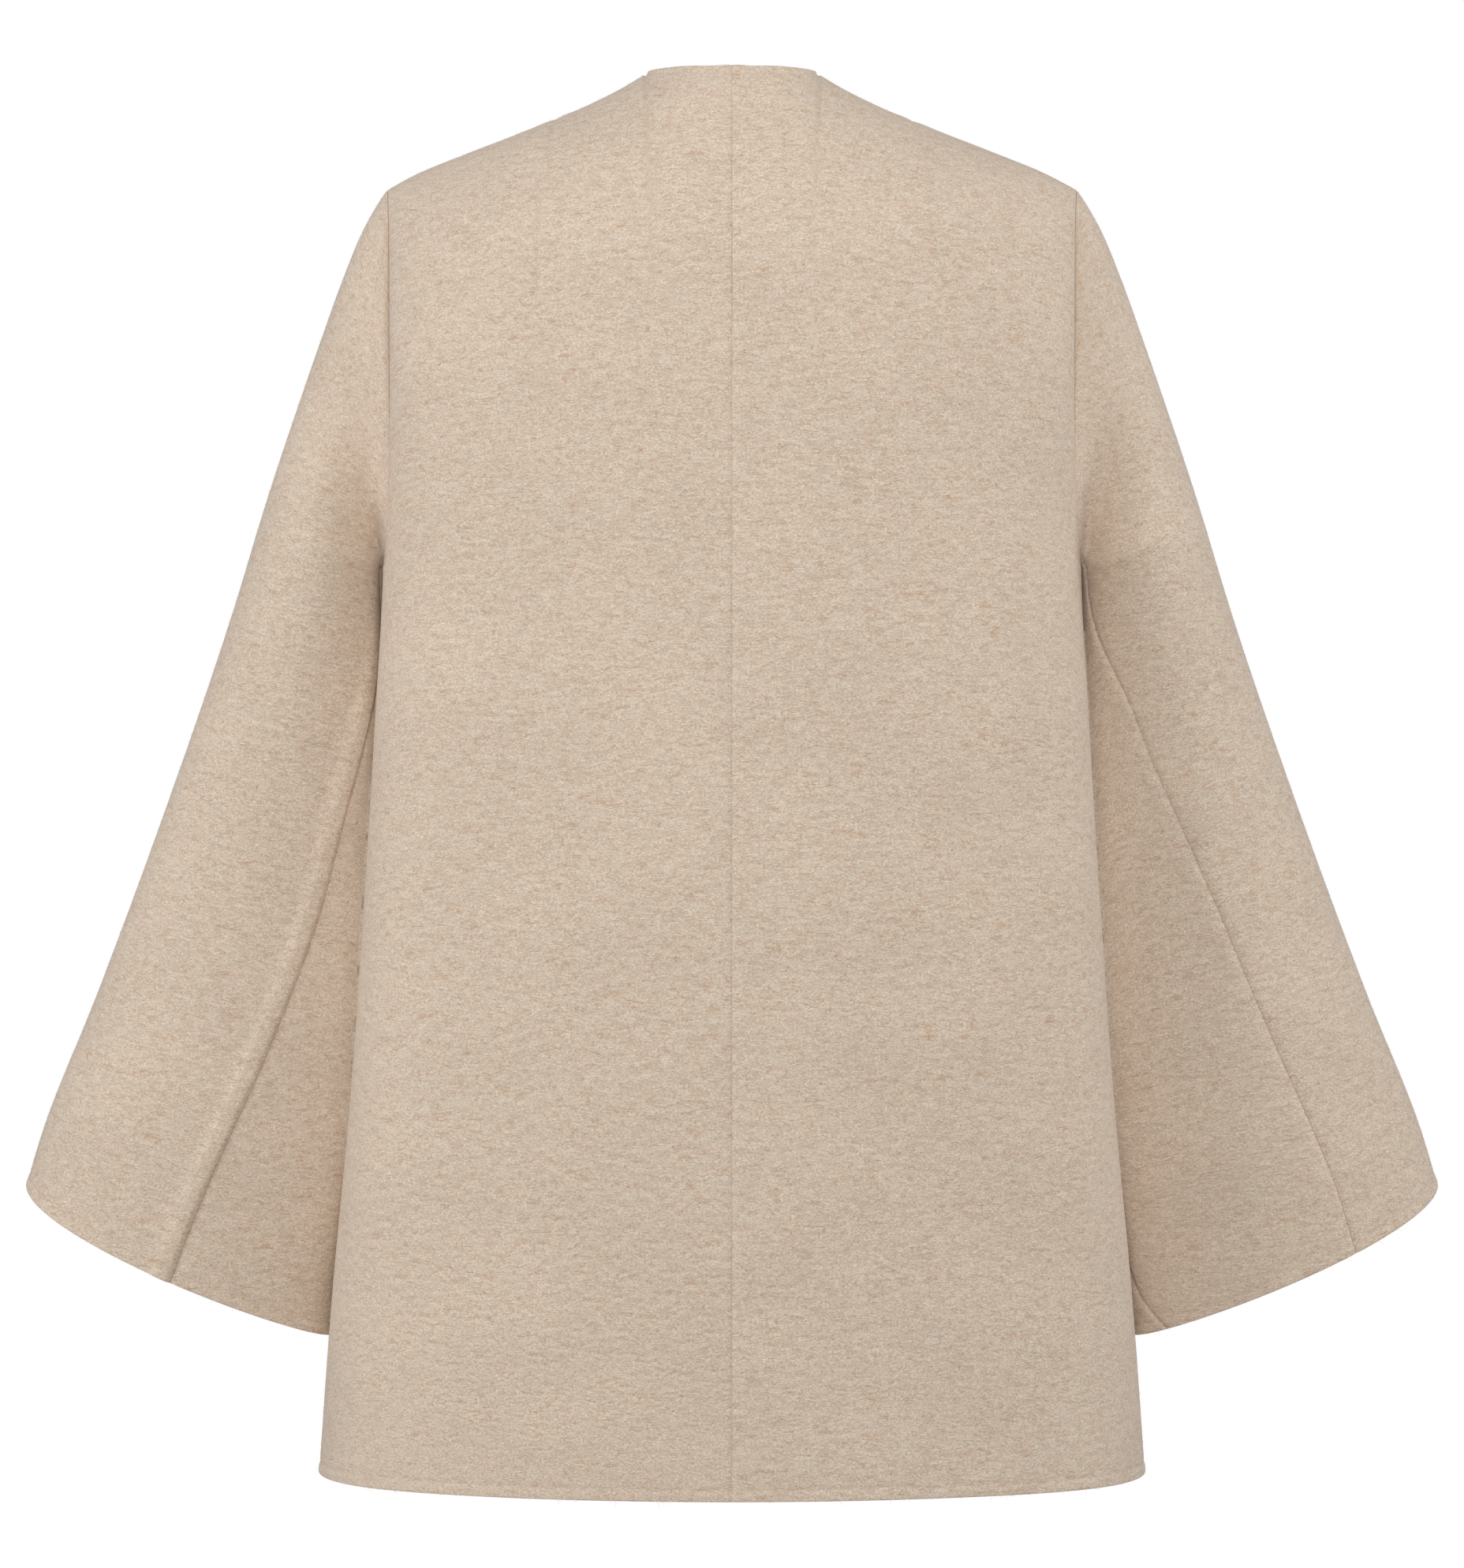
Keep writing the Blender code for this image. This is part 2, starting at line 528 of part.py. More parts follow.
def sew_side(side, back, front, upper, under):
    """All seams of the coat's left or right half."""
    low, high = side_shares()
    rows = np.arange(back.points.shape[0])
    hang = rows <= LOWER_ROWS
    side_back, side_front = back.edge("last"), front.edge("last")
    sew(back, part_of(side_back, hang), front, part_of(side_front, hang))
    on_seam = back.edge("top")[1] >= len(NECK_PARTS) - 1
    sew(back, part_of(back.edge("top"), on_seam), front, part_of(front.edge("top"), on_seam))
    sleeve_rows = np.arange(SLEEVE_ROWS + 1)
    for mine, theirs in (("first", "last"), ("last", "first")):
        at = part_of(upper.edge(mine), sleeve_rows)
        sew(upper, at, under, under.edge(theirs))
    columns = under.edge("top")[1]
    middle = UNDER_HALF
    for half, piece in ((BACK, back), (FRONT, front)):
        edge = piece.edge("last")
        first = LOWER_ROWS
        beside = part_of(edge, np.arange(first, first + UNDER_HALF + 1))
        chosen = columns[middle:] if half == BACK else columns[middle::-1]
        sew(piece, beside, under, part_of(under.edge("top"), chosen), ARMHOLE_GAP)
        # The upper sleeve: up its own side edge, then along its top row to the shoulder.
        first += UNDER_HALF
        side_rows = np.arange(SLEEVE_ROWS, upper.points.shape[0])
        column = 0 if half == BACK else upper.points.shape[1] - 1
        top_columns = np.arange(1, 1 + len(high) - 1)
        if half == FRONT:
            top_columns = column - top_columns
        at_i = np.concatenate([side_rows, 0 * top_columns + upper.points.shape[0] - 1])
        at_j = np.concatenate([0 * side_rows + column, top_columns])
        above = part_of(edge, np.arange(first, piece.points.shape[0]))
        sew_armhole(piece, above, upper, (at_i, at_j), len(side_rows))
    # Back, front and sleeve meet at the shoulder point, and slant in together there.
    corners = (back, (-1, -1)), (front, (-1, -1)), (upper, (-1, upper.points.shape[1] // 2))
    together = unit(sum(piece.normal[at] for piece, at in corners))
    for piece, at in corners:
        piece.inward[at] = -together / (together @ corners[2][0].normal[corners[2][1]])


def sew_armhole(piece, at, upper, at_upper, on_side):
    """The upper sleeve's edge turns a corner, so its ways in are taken on each stretch."""
    side, top = part_of(at_upper, slice(0, on_side)), part_of(at_upper, slice(on_side - 1, None))
    sew(piece, part_of(at, slice(0, on_side)), upper, side, ARMHOLE_GAP)
    sew(piece, part_of(at, slice(on_side - 1, None)), upper, top, ARMHOLE_GAP)


def build_wall(piece):
    """The piece as one closed solid."""
    outer = piece.points + piece.normal * piece.raised[..., None] + piece.moved
    inner = piece.points + piece.inward * CLOTH + piece.moved
    rows, columns = outer.shape[:2]
    number = np.arange(rows * columns).reshape(rows, columns)
    low_left, low_right = number[:-1, :-1].ravel(), number[:-1, 1:].ravel()
    high_left, high_right = number[1:, :-1].ravel(), number[1:, 1:].ravel()
    shift = rows * columns
    # Both faces of the cloth are cut along the same diagonal, the shorter one, so the wall stays even.
    flat = outer.reshape(-1, 3)
    rising = np.linalg.norm(flat[low_left] - flat[high_right], axis=1)
    falling = np.linalg.norm(flat[low_right] - flat[high_left], axis=1)
    cut = rising < falling
    below = np.stack([low_left, low_right, np.where(cut, high_right, high_left)], -1)
    above = np.stack([np.where(cut, low_left, low_right), high_right, high_left], -1)
    outside = np.concatenate([below, above])
    faces = outside.tolist() + (outside[:, ::-1] + shift).tolist()
    rim = np.concatenate([number[0, :-1], number[:-1, -1], number[-1, :0:-1], number[:0:-1, 0]])
    # Each stretch of rim is cut corner to corner from its lower outer point, as its neighbour's is.
    height = outer.reshape(-1, 3)[:, 2]
    for here, after in zip(rim.tolist(), np.roll(rim, -1).tolist()):
        if height[here] < height[after]:
            faces += [[here, here + shift, after + shift], [here, after + shift, after]]
        else:
            faces += [[here, here + shift, after], [here + shift, after + shift, after]]
    if piece.sign > 0:
        faces = [face[::-1] for face in faces]
    mesh = bpy.data.meshes.new(piece.name)
    mesh.from_pydata(np.concatenate([outer.reshape(-1, 3), inner.reshape(-1, 3)]).tolist(), [], faces)
    mesh.shade_smooth()
    mesh.set_sharp_from_angle(angle=math.radians(50))
    return mesh


def wool():
    material = bpy.data.materials.new("oatmeal_wool")
    material.use_nodes = True
    shader = material.node_tree.nodes["Principled BSDF"]
    shader.inputs["Base Color"].default_value = CLOTH_COLOUR
    shader.inputs["Roughness"].default_value = CLOTH_ROUGH
    shader.inputs["Metallic"].default_value = 0.0
    return material


def main():
    for obj in list(bpy.data.objects):
        bpy.data.objects.remove(obj)
    cloth = wool()
    halves = {}
    for side in (LEFT, RIGHT):
        halves[side] = body_piece(side, BACK), body_piece(side, FRONT), upper_piece(side), under_piece(side)
        sew_side(side, *halves[side])
    backs = halves[LEFT][0], halves[RIGHT][0]
    sew(backs[0], backs[0].edge("first"), backs[1], backs[1].edge("first"))
    for pieces in halves.values():
        for piece in pieces:
            mesh = build_wall(piece)
            mesh.materials.append(cloth)
            obj = bpy.data.objects.new(piece.name, mesh)
            bpy.context.scene.collection.objects.link(obj)


main()
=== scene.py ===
# %% [markdown]
# # A wool coat, seen from behind
# The coat is cut from eight pieces of double-faced wool: two backs, two fronts, and an upper and an
# under piece for each sleeve. It hangs filled out, as if someone wore it. Each piece here is a thin
# shell of cloth that takes the place of one solid of the frame. Its finer form is worked out from the
# cut: seams, darts, turned edges, soft folds, the nap of the wool and the hand stitches. The sleeves are
# drawn closer to the body's sides than their solids are, so that no light shows between them.

# %% Load the frame
import math
from collections import namedtuple

import bpy
import numpy as np
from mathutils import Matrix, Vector


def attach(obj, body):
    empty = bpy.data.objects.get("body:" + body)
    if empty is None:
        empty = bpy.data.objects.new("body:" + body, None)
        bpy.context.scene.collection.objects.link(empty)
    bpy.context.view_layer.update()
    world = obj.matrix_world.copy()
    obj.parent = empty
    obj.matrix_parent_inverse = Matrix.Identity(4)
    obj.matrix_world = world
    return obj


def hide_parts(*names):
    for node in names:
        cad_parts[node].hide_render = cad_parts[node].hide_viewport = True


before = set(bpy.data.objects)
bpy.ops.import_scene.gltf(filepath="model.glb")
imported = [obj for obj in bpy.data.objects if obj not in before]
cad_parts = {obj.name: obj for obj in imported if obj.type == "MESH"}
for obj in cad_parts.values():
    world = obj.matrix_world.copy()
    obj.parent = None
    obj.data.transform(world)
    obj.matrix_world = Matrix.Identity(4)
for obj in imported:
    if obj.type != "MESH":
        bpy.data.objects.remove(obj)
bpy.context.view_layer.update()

# %% [markdown]
# The photograph was taken level, from behind the middle of the coat, with a long lens. A long lens
# far away keeps the sleeves from looking bigger than they are.

# %% Camera
VIEW_DISTANCE, VIEW_HEIGHT = 3.1, -0.409
LENS = 123.4  # mm, on a 36 mm sensor along the tall side

camera = bpy.data.objects.new("camera", bpy.data.cameras.new("camera"))
camera.data.lens = LENS
camera.data.sensor_width = 36
camera.location = (0, VIEW_DISTANCE, VIEW_HEIGHT)
camera.rotation_euler = (math.radians(90), 0, math.radians(180))
bpy.context.scene.collection.objects.link(camera)
bpy.context.scene.camera = camera
print("camera at", tuple(camera.location))

# %% [markdown]
# ## The cut
# A garment is easiest to describe by level sections of the body and by rings of the sleeve. The tables
# give each one by name, and a smooth curve runs through the rows. Every size is in metres.

# %% Sizes of the cut
CLOTH = 0.0022
SEAM_GAP = 0.0003
HEM_Z, UNDERARM_Z, UNDERARM_Y = -0.804, -0.285, 0.006
SHOULDER = (0.1990, -0.0060, -0.0660)
NECK_HALF, NECK_Y = 0.0520, 0.0040
NECK_BACK, NECK_BACK_ROUND = 0.0600, 2.5
NECK_FRONT, NECK_FRONT_ROUND = -0.1000, 2.1
FRONT_OPEN_TOP, FRONT_OPEN_HEM = 0.006, 0.014
CUFF_OUT_Z, PIT_OUT_Z = -0.642, -0.262
ROW_DIP = 0.02

Section = namedtuple("Section", "height half_width back side front back_full front_full")
BODY = (
    Section(-0.804, 0.2372, 0.146, 0.006, -0.142, 0.58, 0.60),
    Section(-0.700, 0.2292, 0.143, 0.011, -0.140, 0.59, 0.60),
    Section(-0.590, 0.2186, 0.139, 0.016, -0.138, 0.60, 0.60),
    Section(-0.480, 0.2107, 0.134, 0.019, -0.135, 0.61, 0.60),
    Section(-0.375, 0.2045, 0.129, 0.017, -0.132, 0.62, 0.60),
    Section(-0.285, 0.2008, 0.124, 0.006, -0.128, 0.63, 0.60),
    Section(-0.210, 0.2080, 0.120, 0.001, -0.121, 0.64, 0.60),
    Section(-0.150, 0.2140, 0.114, -0.001, -0.112, 0.64, 0.60),
)
SIDE_FULL = 0.58
SLEEVE_CLEAR, SLEEVE_LEAVES = 0.0003, -0.008

ArmholeWidth = namedtuple("ArmholeWidth", "share half_width")
ARMHOLE = (
    ArmholeWidth(0.00, 0.2008),
    ArmholeWidth(0.12, 0.1996),
    ArmholeWidth(0.25, 0.1970),
    ArmholeWidth(0.50, 0.1950),
    ArmholeWidth(0.75, 0.1962),
    ArmholeWidth(0.90, 0.1980),
    ArmholeWidth(1.00, 0.1990),
)
ARMHOLE_BACK, ARMHOLE_FRONT, ARMHOLE_ROUND = 0.038, 0.054, 2.1
TUCK_FROM = 0.80

ShoulderPoint = namedtuple("ShoulderPoint", "out height")
SHOULDER_SEAM = (
    ShoulderPoint(0.0000, 0.0150),
    ShoulderPoint(0.0300, 0.0105),
    ShoulderPoint(0.0520, 0.0000),
    ShoulderPoint(0.0580, -0.0036),
    ShoulderPoint(0.0700, -0.0110),
    ShoulderPoint(0.0835, -0.0186),
    ShoulderPoint(0.1170, -0.0328),
    ShoulderPoint(0.1530, -0.0466),
    ShoulderPoint(0.1800, -0.0572),
    ShoulderPoint(0.1990, -0.0660),
)

OuterPoint = namedtuple("OuterPoint", "height out")
SLEEVE_OUTER = (
    OuterPoint(-0.0660, 0.1990),
    OuterPoint(-0.0728, 0.2046),
    OuterPoint(-0.0796, 0.2087),
    OuterPoint(-0.0864, 0.2125),
    OuterPoint(-0.0932, 0.2160),
    OuterPoint(-0.1205, 0.2266),
    OuterPoint(-0.1480, 0.2362),
    OuterPoint(-0.2300, 0.2642),
    OuterPoint(-0.3120, 0.2902),
    OuterPoint(-0.4220, 0.3290),
    OuterPoint(-0.5310, 0.3702),
    OuterPoint(-0.6120, 0.4028),
    OuterPoint(-0.6420, 0.4120),
)

Ring = namedtuple("Ring", "at inner_out inner_y inner_z outer_y back front slope close")
SLEEVE = (
    Ring(0.00, 0.2235, -0.047, -0.722, -0.042, 0.0655, 0.062, -0.23, 0.35),
    Ring(0.25, 0.2190, -0.037, -0.615, -0.037, 0.0620, 0.062, -0.16, 0.90),
    Ring(0.50, 0.2120, -0.034, -0.505, -0.031, 0.0570, 0.061, -0.10, 1.00),
    Ring(0.75, 0.2058, -0.024, -0.395, -0.023, 0.0530, 0.060, -0.05, 1.00),
    Ring(0.90, 0.2028, -0.009, -0.329, -0.017, 0.0505, 0.059, -0.02, 0.95),
    Ring(1.00, 0.2013, 0.006, -0.285, -0.013, 0.0500, 0.058, 0.00, 0.55),
)

SleeveSeam = namedtuple("SleeveSeam", "at left_back right_back left_under right_under")
SLEEVE_SEAMS = (
    SleeveSeam(0.000, 0.264, 0.326, 0.975, 1.135),
    SleeveSeam(0.070, 0.255, 0.321, 0.968, 1.062),
    SleeveSeam(0.150, 0.243, 0.311, 0.955, 0.992),
    SleeveSeam(0.250, 0.222, 0.294, 0.940, 0.950),
    SleeveSeam(0.370, 0.191, 0.269, 0.930, 0.935),
    SleeveSeam(0.490, 0.159, 0.231, 0.937, 0.940),
    SleeveSeam(0.600, 0.100, 0.180, 0.960, 0.960),
    SleeveSeam(0.680, 0.040, 0.095, 0.982, 0.982),
    SleeveSeam(0.751, 0.000, 0.000, 1.000, 1.000),
)
AT_UNDERARM, AT_YOKE, YOKE_SHARE = 0.55, 0.76, 0.46
YOKE_BACK_Z, YOKE_FRONT_Z = -0.172, -0.182
AT_PIT, CAP_SHARE, UNDER_SHARE = 0.70, 0.70, 0.12
AT_SEAM_TOP = AT_PIT + (1 - AT_PIT) * UNDER_SHARE / CAP_SHARE
LEFT, RIGHT, BACK, FRONT = 1, -1, 1, -1
print("cut:", len(BODY), "body sections,", len(SLEEVE), "sleeve rings")

# %% [markdown]
# Three small helpers turn the tables into curves. `smooth` is a cubic that never overshoots its
# table, so a seam can't bulge between two rows.


# %% Curves
def smooth(rows, key, name, at):
    table = sorted((getattr(row, key), getattr(row, name)) for row in rows)
    knots, values = np.array(table).T
    step = np.diff(knots)
    slope = np.diff(values) / step
    lean = np.empty_like(values)
    lean[1:-1] = (slope[:-1] * step[1:] + slope[1:] * step[:-1]) / (step[1:] + step[:-1])
    lean[1:-1][slope[:-1] * slope[1:] <= 0] = 0
    lean[0], lean[-1] = slope[0], slope[-1]
    at = np.asarray(at, float)
    i = np.clip(np.searchsorted(knots, at, side="right") - 1, 0, len(step) - 1)
    t = np.clip((at - knots[i]) / step[i], 0, 1)
    rise = (t**3 - 2 * t**2 + t) * lean[i] + (t**3 - t**2) * lean[i + 1]
    return (2 * t**3 - 3 * t**2 + 1) * values[i] + (3 * t**2 - 2 * t**3) * values[i + 1] + step[i] * rise


def bezier(p0, p1, p2, p3, t):
    t = np.asarray(t)[..., None]
    return (1 - t) ** 3 * p0 + 3 * (1 - t) ** 2 * t * p1 + 3 * (1 - t) * t**2 * p2 + t**3 * p3


def vector(x, y, z):
    return np.stack(np.broadcast_arrays(np.asarray(x, float), y, z), -1)


def unit(a):
    return a / np.maximum(np.linalg.norm(a, axis=-1, keepdims=True), 1e-12)


def ease(t):
    t = np.clip(t, 0, 1)
    return t * t * (3 - 2 * t)


print("half way up the body it is", round(2 * float(smooth(BODY, "height", "half_width", -0.45)), 3), "wide")

# %% [markdown]
# ## The body
# Below the armholes a row of the body is a level section. Beside an armhole the same section is cut
# off where the armhole meets it, and its end turns in a little to the seam. The yoke above carries
# the cloth over the shoulder blades to the shoulder seam, and the neckline is cut out of it.


# %% The body's surface
def armhole(half, share):
    share = np.asarray(share, float)
    turn = share * math.pi
    middle, reach = (SHOULDER[2] + UNDERARM_Z) / 2, (SHOULDER[2] - UNDERARM_Z) / 2
    power = 2 / ARMHOLE_ROUND
    z = middle - reach * np.sign(np.cos(turn)) * np.abs(np.cos(turn)) ** power
    climb = (z - UNDERARM_Z) / (SHOULDER[2] - UNDERARM_Z)
    deep = ARMHOLE_BACK if half == BACK else ARMHOLE_FRONT
    y = UNDERARM_Y + (SHOULDER[1] - UNDERARM_Y) * climb + half * deep * np.clip(np.sin(turn), 0, 1) ** power
    return vector(smooth(ARMHOLE, "share", "half_width", share), y, z)


def section(half, z, t):
    side_y = smooth(BODY, "height", "side", z)
    deep = smooth(BODY, "height", "back" if half == BACK else "front", z)
    full = smooth(BODY, "height", "back_full" if half == BACK else "front_full", z)
    open_x = FRONT_OPEN_HEM + (FRONT_OPEN_TOP - FRONT_OPEN_HEM) * (z - HEM_Z) / -HEM_Z
    centre = vector(0 * z if half == BACK else open_x, deep, z)
    side = vector(smooth(BODY, "height", "half_width", z), side_y, z)
    out = full * (side[..., 0] - centre[..., 0])
    along = SIDE_FULL * (deep - side_y)
    return bezier(centre, centre + vector(out, 0, 0), side + vector(0, along, 0), side, t)


def halved(outside, shape):
    """The place from 0 to 1 where outside(place) stops being true, by halving."""
    low, high = np.zeros(shape), np.ones(shape)
    for _ in range(22):
        middle = (low + high) / 2
        out = outside(middle)
        low, high = np.where(out, middle, low), np.where(out, high, middle)
    return (low + high) / 2


def body_row(half, up, t):
    up, t = np.broadcast_arrays(np.asarray(up, float), np.asarray(t, float))
    climb = (up - AT_UNDERARM) / (AT_YOKE - AT_UNDERARM)
    edge = armhole(half, np.clip(climb, 0, 1) * YOKE_SHARE)
    yoke_z = YOKE_BACK_Z if half == BACK else YOKE_FRONT_Z
    low_z = HEM_Z + (UNDERARM_Z - HEM_Z) * np.clip(up / AT_UNDERARM, 0, 1)
    trimmed = up > AT_UNDERARM
    z = np.where(trimmed, UNDERARM_Z + (yoke_z - UNDERARM_Z) * climb, low_z)
    z = np.where(trimmed, z + (edge[..., 2] - z) * t**2, z)
    last = halved(lambda m: half * (section(half, edge[..., 2], m)[..., 1] - edge[..., 1]) > 0, up.shape)
    last = np.where(trimmed, last, 1.0)
    untucked = section(half, np.where(trimmed, edge[..., 2], z), last)
    tuck = np.where(trimmed[..., None], edge - untucked, 0)
    turned = np.clip((t - TUCK_FROM) / (1 - TUCK_FROM), 0, 1) ** 2
    return section(half, z, t * last) + tuck * turned[..., None]


def shoulder_seam(x):
    share = np.clip((x - NECK_HALF) / (SHOULDER[0] - NECK_HALF), 0, 1)
    return vector(x, NECK_Y + (SHOULDER[1] - NECK_Y) * share, smooth(SHOULDER_SEAM, "out", "height", x))


def neckline_depth(half, x):
    reach, power = (NECK_BACK, NECK_BACK_ROUND) if half == BACK else (NECK_FRONT, NECK_FRONT_ROUND)
    return NECK_Y + (reach - NECK_Y) * (1 - np.clip(x / NECK_HALF, 0, 1) ** power) ** (1 / power)


def width_share(t):
    full = 0.62
    return 3 * (1 - t) ** 2 * t * full + 3 * (1 - t) * t**2 + t**3


_steps = np.linspace(0, 1, 400)
NECK_T = float(np.interp(NECK_HALF / SHOULDER[0], width_share(_steps), _steps))


def yoke(half, q, t):
    def column(t):
        """Both ends of the bow at t, and its pulls there."""
        base = np.full(t.shape, AT_YOKE)
        low = body_row(half, base, t)
        rise = unit(low - body_row(half, base - 0.01, t))
        top = shoulder_seam(SHOULDER[0] * width_share(t))
        far = np.linalg.norm(top - low, axis=-1, keepdims=True)
        return low, low + rise * far * 1.25 / 3, top - vector(0, -half, -0.04) * far * 1.15 / 3, top

    ends = column(t)

    def beyond_neckline(place):
        point = bezier(*ends, place)
        return half * (point[..., 1] - neckline_depth(half, point[..., 0])) > 0

    end = np.where(t < NECK_T, halved(beyond_neckline, t.shape), 1)
    pull = armhole(half, YOKE_SHARE + (1 - YOKE_SHARE) * q) - bezier(*column(np.ones(t.shape)), q)
    return bezier(*ends, q * end) + pull * (width_share(t) ** 5)[..., None]


def body(half, up, t):
    up, t = np.broadcast_arrays(np.asarray(up, float), np.asarray(t, float))
    out = np.empty(up.shape + (3,))
    low = up <= AT_YOKE
    out[low] = body_row(half, up[low], t[low])
    out[~low] = yoke(half, (up[~low] - AT_YOKE) / (1 - AT_YOKE), t[~low])
    return out


print("underarm at", body(BACK, AT_UNDERARM, 1.0).round(4), "shoulder at", body(BACK, 1.0, 1.0).round(4))

# %% [markdown]
# ## The sleeve
# The sleeve is a wide tube of slanting rings. Above the underarm a ring is cut off where it meets the
# armhole, and opens into a row that springs from one side of the armhole to the other. The top of
# the cap is set in round the rest of the armhole.


# %% The sleeve's surface
def sleeve(up, u):
    up, u = np.broadcast_arrays(np.asarray(up, float), np.asarray(u, float))
    u = np.where((u < 0) | (u > 1), u % 1, u)
    at = np.clip(up / AT_PIT, 0, 1)
    cap = np.clip((up - AT_PIT) / (1 - AT_PIT), 0, 1)
    on_cap = up > AT_PIT

    def ring(name):
        return smooth(SLEEVE, "at", name, at)

    cap_z = PIT_OUT_Z + (SHOULDER[2] - PIT_OUT_Z) * (1 - (1 - cap) ** 1.15)
    outer_z = np.where(on_cap, cap_z, CUFF_OUT_Z + (PIT_OUT_Z - CUFF_OUT_Z) * at)
    outer_y = ring("outer_y") + (SHOULDER[1] - ring("outer_y")) * cap
    outer = vector(smooth(SLEEVE_OUTER, "height", "out", outer_z), outer_y, outer_z)
    inner = vector(ring("inner_out"), ring("inner_y"), ring("inner_z"))
    share = cap * CAP_SHARE
    cut = (1 - np.sqrt(1 - np.clip(np.sin(share * math.pi), 0, 1) ** (2 / ARMHOLE_ROUND))) / 2
    cut = np.where(on_cap, np.where(share > 0.5, 0.5, cut), 0)
    opened = ease(2 * cut)
    halves = []
    for half in (BACK, FRONT):
        start = np.where(on_cap[..., None], armhole(half, share), inner)
        deep = ring("back" if half == BACK else "front")
        depth = vector(0 * deep, half, half * ring("slope")) * (4 / 3 * deep)[..., None]
        leave = (1 - cut)[..., None] ** 2 * depth + (2 * cut * (1 - cut))[..., None] * (outer - inner)
        leave = (leave - (cut**2)[..., None] * depth) * (1 - cut)[..., None]
        wide = np.linalg.norm(outer - start, axis=-1)
        away = unit((outer - start) * [1, 0, 1] + vector(0, -half * ROW_DIP * wide, 0))
        away = away * (0.58 * wide)[..., None]
        leave = leave + (away - leave) * opened[..., None]
        square = vector(0 * deep, half * 0.62 * np.abs(start[..., 1] - outer[..., 1]), 0)
        arrive = depth * (1 - cut)[..., None]
        arrive = arrive + (square - arrive) * opened[..., None]
        t = np.clip(2 * u if half == BACK else 2 * (1 - u), 0, 1)
        row = bezier(start, start + leave, outer + arrive, outer, t)
        # Behind, a ring lies close along the body's side, and leaves it just in front of its widest line.
        if half == BACK:
            height = start[..., 2]
            leaves = smooth(BODY, "height", "side", height) + SLEEVE_LEAVES
            beside = smooth(BODY, "height", "half_width", height) + SLEEVE_CLEAR
            corner = vector(beside, leaves, height + (leaves - start[..., 1]) * ring("slope"))
            pull = ring("close") * 17.6 * t * (1 - t) ** 6 * (1 - opened)
            row = row + (corner - row) * pull[..., None]
        set_in = armhole(half, CAP_SHARE + (1 - CAP_SHARE) * t)
        halves.append(row + (set_in - row) * (cap**6)[..., None])
    return np.where((u < 0.5)[..., None], halves[0], halves[1])


def seam_place(side, name, up):
    return smooth(SLEEVE_SEAMS, "at", ("left_" if side == LEFT else "right_") + name, up)


print("cuff from", sleeve(0.0, 0.0).round(3), "to", sleeve(0.0, 0.5).round(3))

# %% [markdown]
# ## Where each piece has its points
# A seam or a turned edge is only a millimetre or two wide, and the cloth between is smooth. So the
# points stand close together beside the edges and a few millimetres apart everywhere else.

# %% Places across and along a piece
STEP = 0.0034
BESIDE = (
    0, 0.0002, 0.0005, 0.0009, 0.0014, 0.0021, 0.0030,
    0.0042, 0.0058, 0.0068, 0.0078, 0.0095, 0.012, 0.015,
)
NEAR_DART = (0.0007, 0.0015, 0.0025, 0.0040, 0.0065)


def places(length, stops=(), both=True):
    """Places from 0 to 1 along this length: close at the ends, and round each stop."""
    near = np.array(BESIDE) / length
    even = np.linspace(near[-1], 1, int(np.ceil((1 - near[-1]) * length / STEP)) + 1)
    chosen = np.concatenate([near[:-1], even])
    if both:
        chosen = np.concatenate([chosen[chosen < 1 - near[-1] * 1.05], 1 - near])
    for stop, reach in stops:
        close = np.array([0, *reach, *(-r for r in reach)]) / length
        far = max(reach, default=0) / length + 0.4 * STEP / length
        chosen = np.concatenate([chosen[np.abs(chosen - stop) > far], stop + close])
    return np.unique(chosen.round(7))


def facing(surface, up, across):
    step = 1e-4
    down = np.where(up > step, -step, step)
    in_ = np.where(across % 1 < 0.5, step, -step)
    in_ = np.where(across == 1, -step, in_)
    here = surface(up, across)
    rise = (surface(up + down, across) - here) / down[..., None]
    run = (surface(up, across + in_) - here) / in_[..., None]
    return here, unit(np.cross(rise, run))


print(len(places(0.86)), "rows on a piece 86 cm long")

# %% [markdown]
# The back darts run down from the shoulder seam over the shoulder blades, and take up cloth so that
# the back rounds over them. A column of points follows each one.

# %% Darts
DartPoint = namedtuple("DartPoint", "height left right")
DARTS = (
    DartPoint(-0.020, 0.1010, 0.1030),
    DartPoint(-0.049, 0.1035, 0.1070),
    DartPoint(-0.079, 0.1090, 0.1145),
    DartPoint(-0.120, 0.1080, 0.1172),
    DartPoint(-0.143, 0.1124, 0.1190),
    DartPoint(-0.187, 0.1200, 0.1233),
)
DART_END = {LEFT: -0.166, RIGHT: -0.190}
AT_NECK, AT_DART = 0.18, 0.42  # where the neck corner's and the dart's columns stand across a piece


def dart_t(side, half, up):
    """The dart's place across each row of a back, and a plain place on a front."""
    if half == FRONT:
        return np.full(up.shape, 0.40)
    name = "left" if side == LEFT else "right"

    def inside(t):
        point = body(BACK, up, t)
        return point[..., 0] < smooth(DARTS, "height", name, np.maximum(point[..., 2], DART_END[side]))

    return halved(inside, up.shape)


print("left dart's place at the shoulder", dart_t(LEFT, BACK, np.array([1.0])).round(3))

# %% [markdown]
# ## Relief
# On top of the cut come the small heights. A seam is a narrow valley with the cloth slightly full
# beside it. A turned edge is a soft band about 6 mm wide with a shallow groove behind it, where the
# hand stitches pull. Large soft hollows and swells are where the coat hangs free.

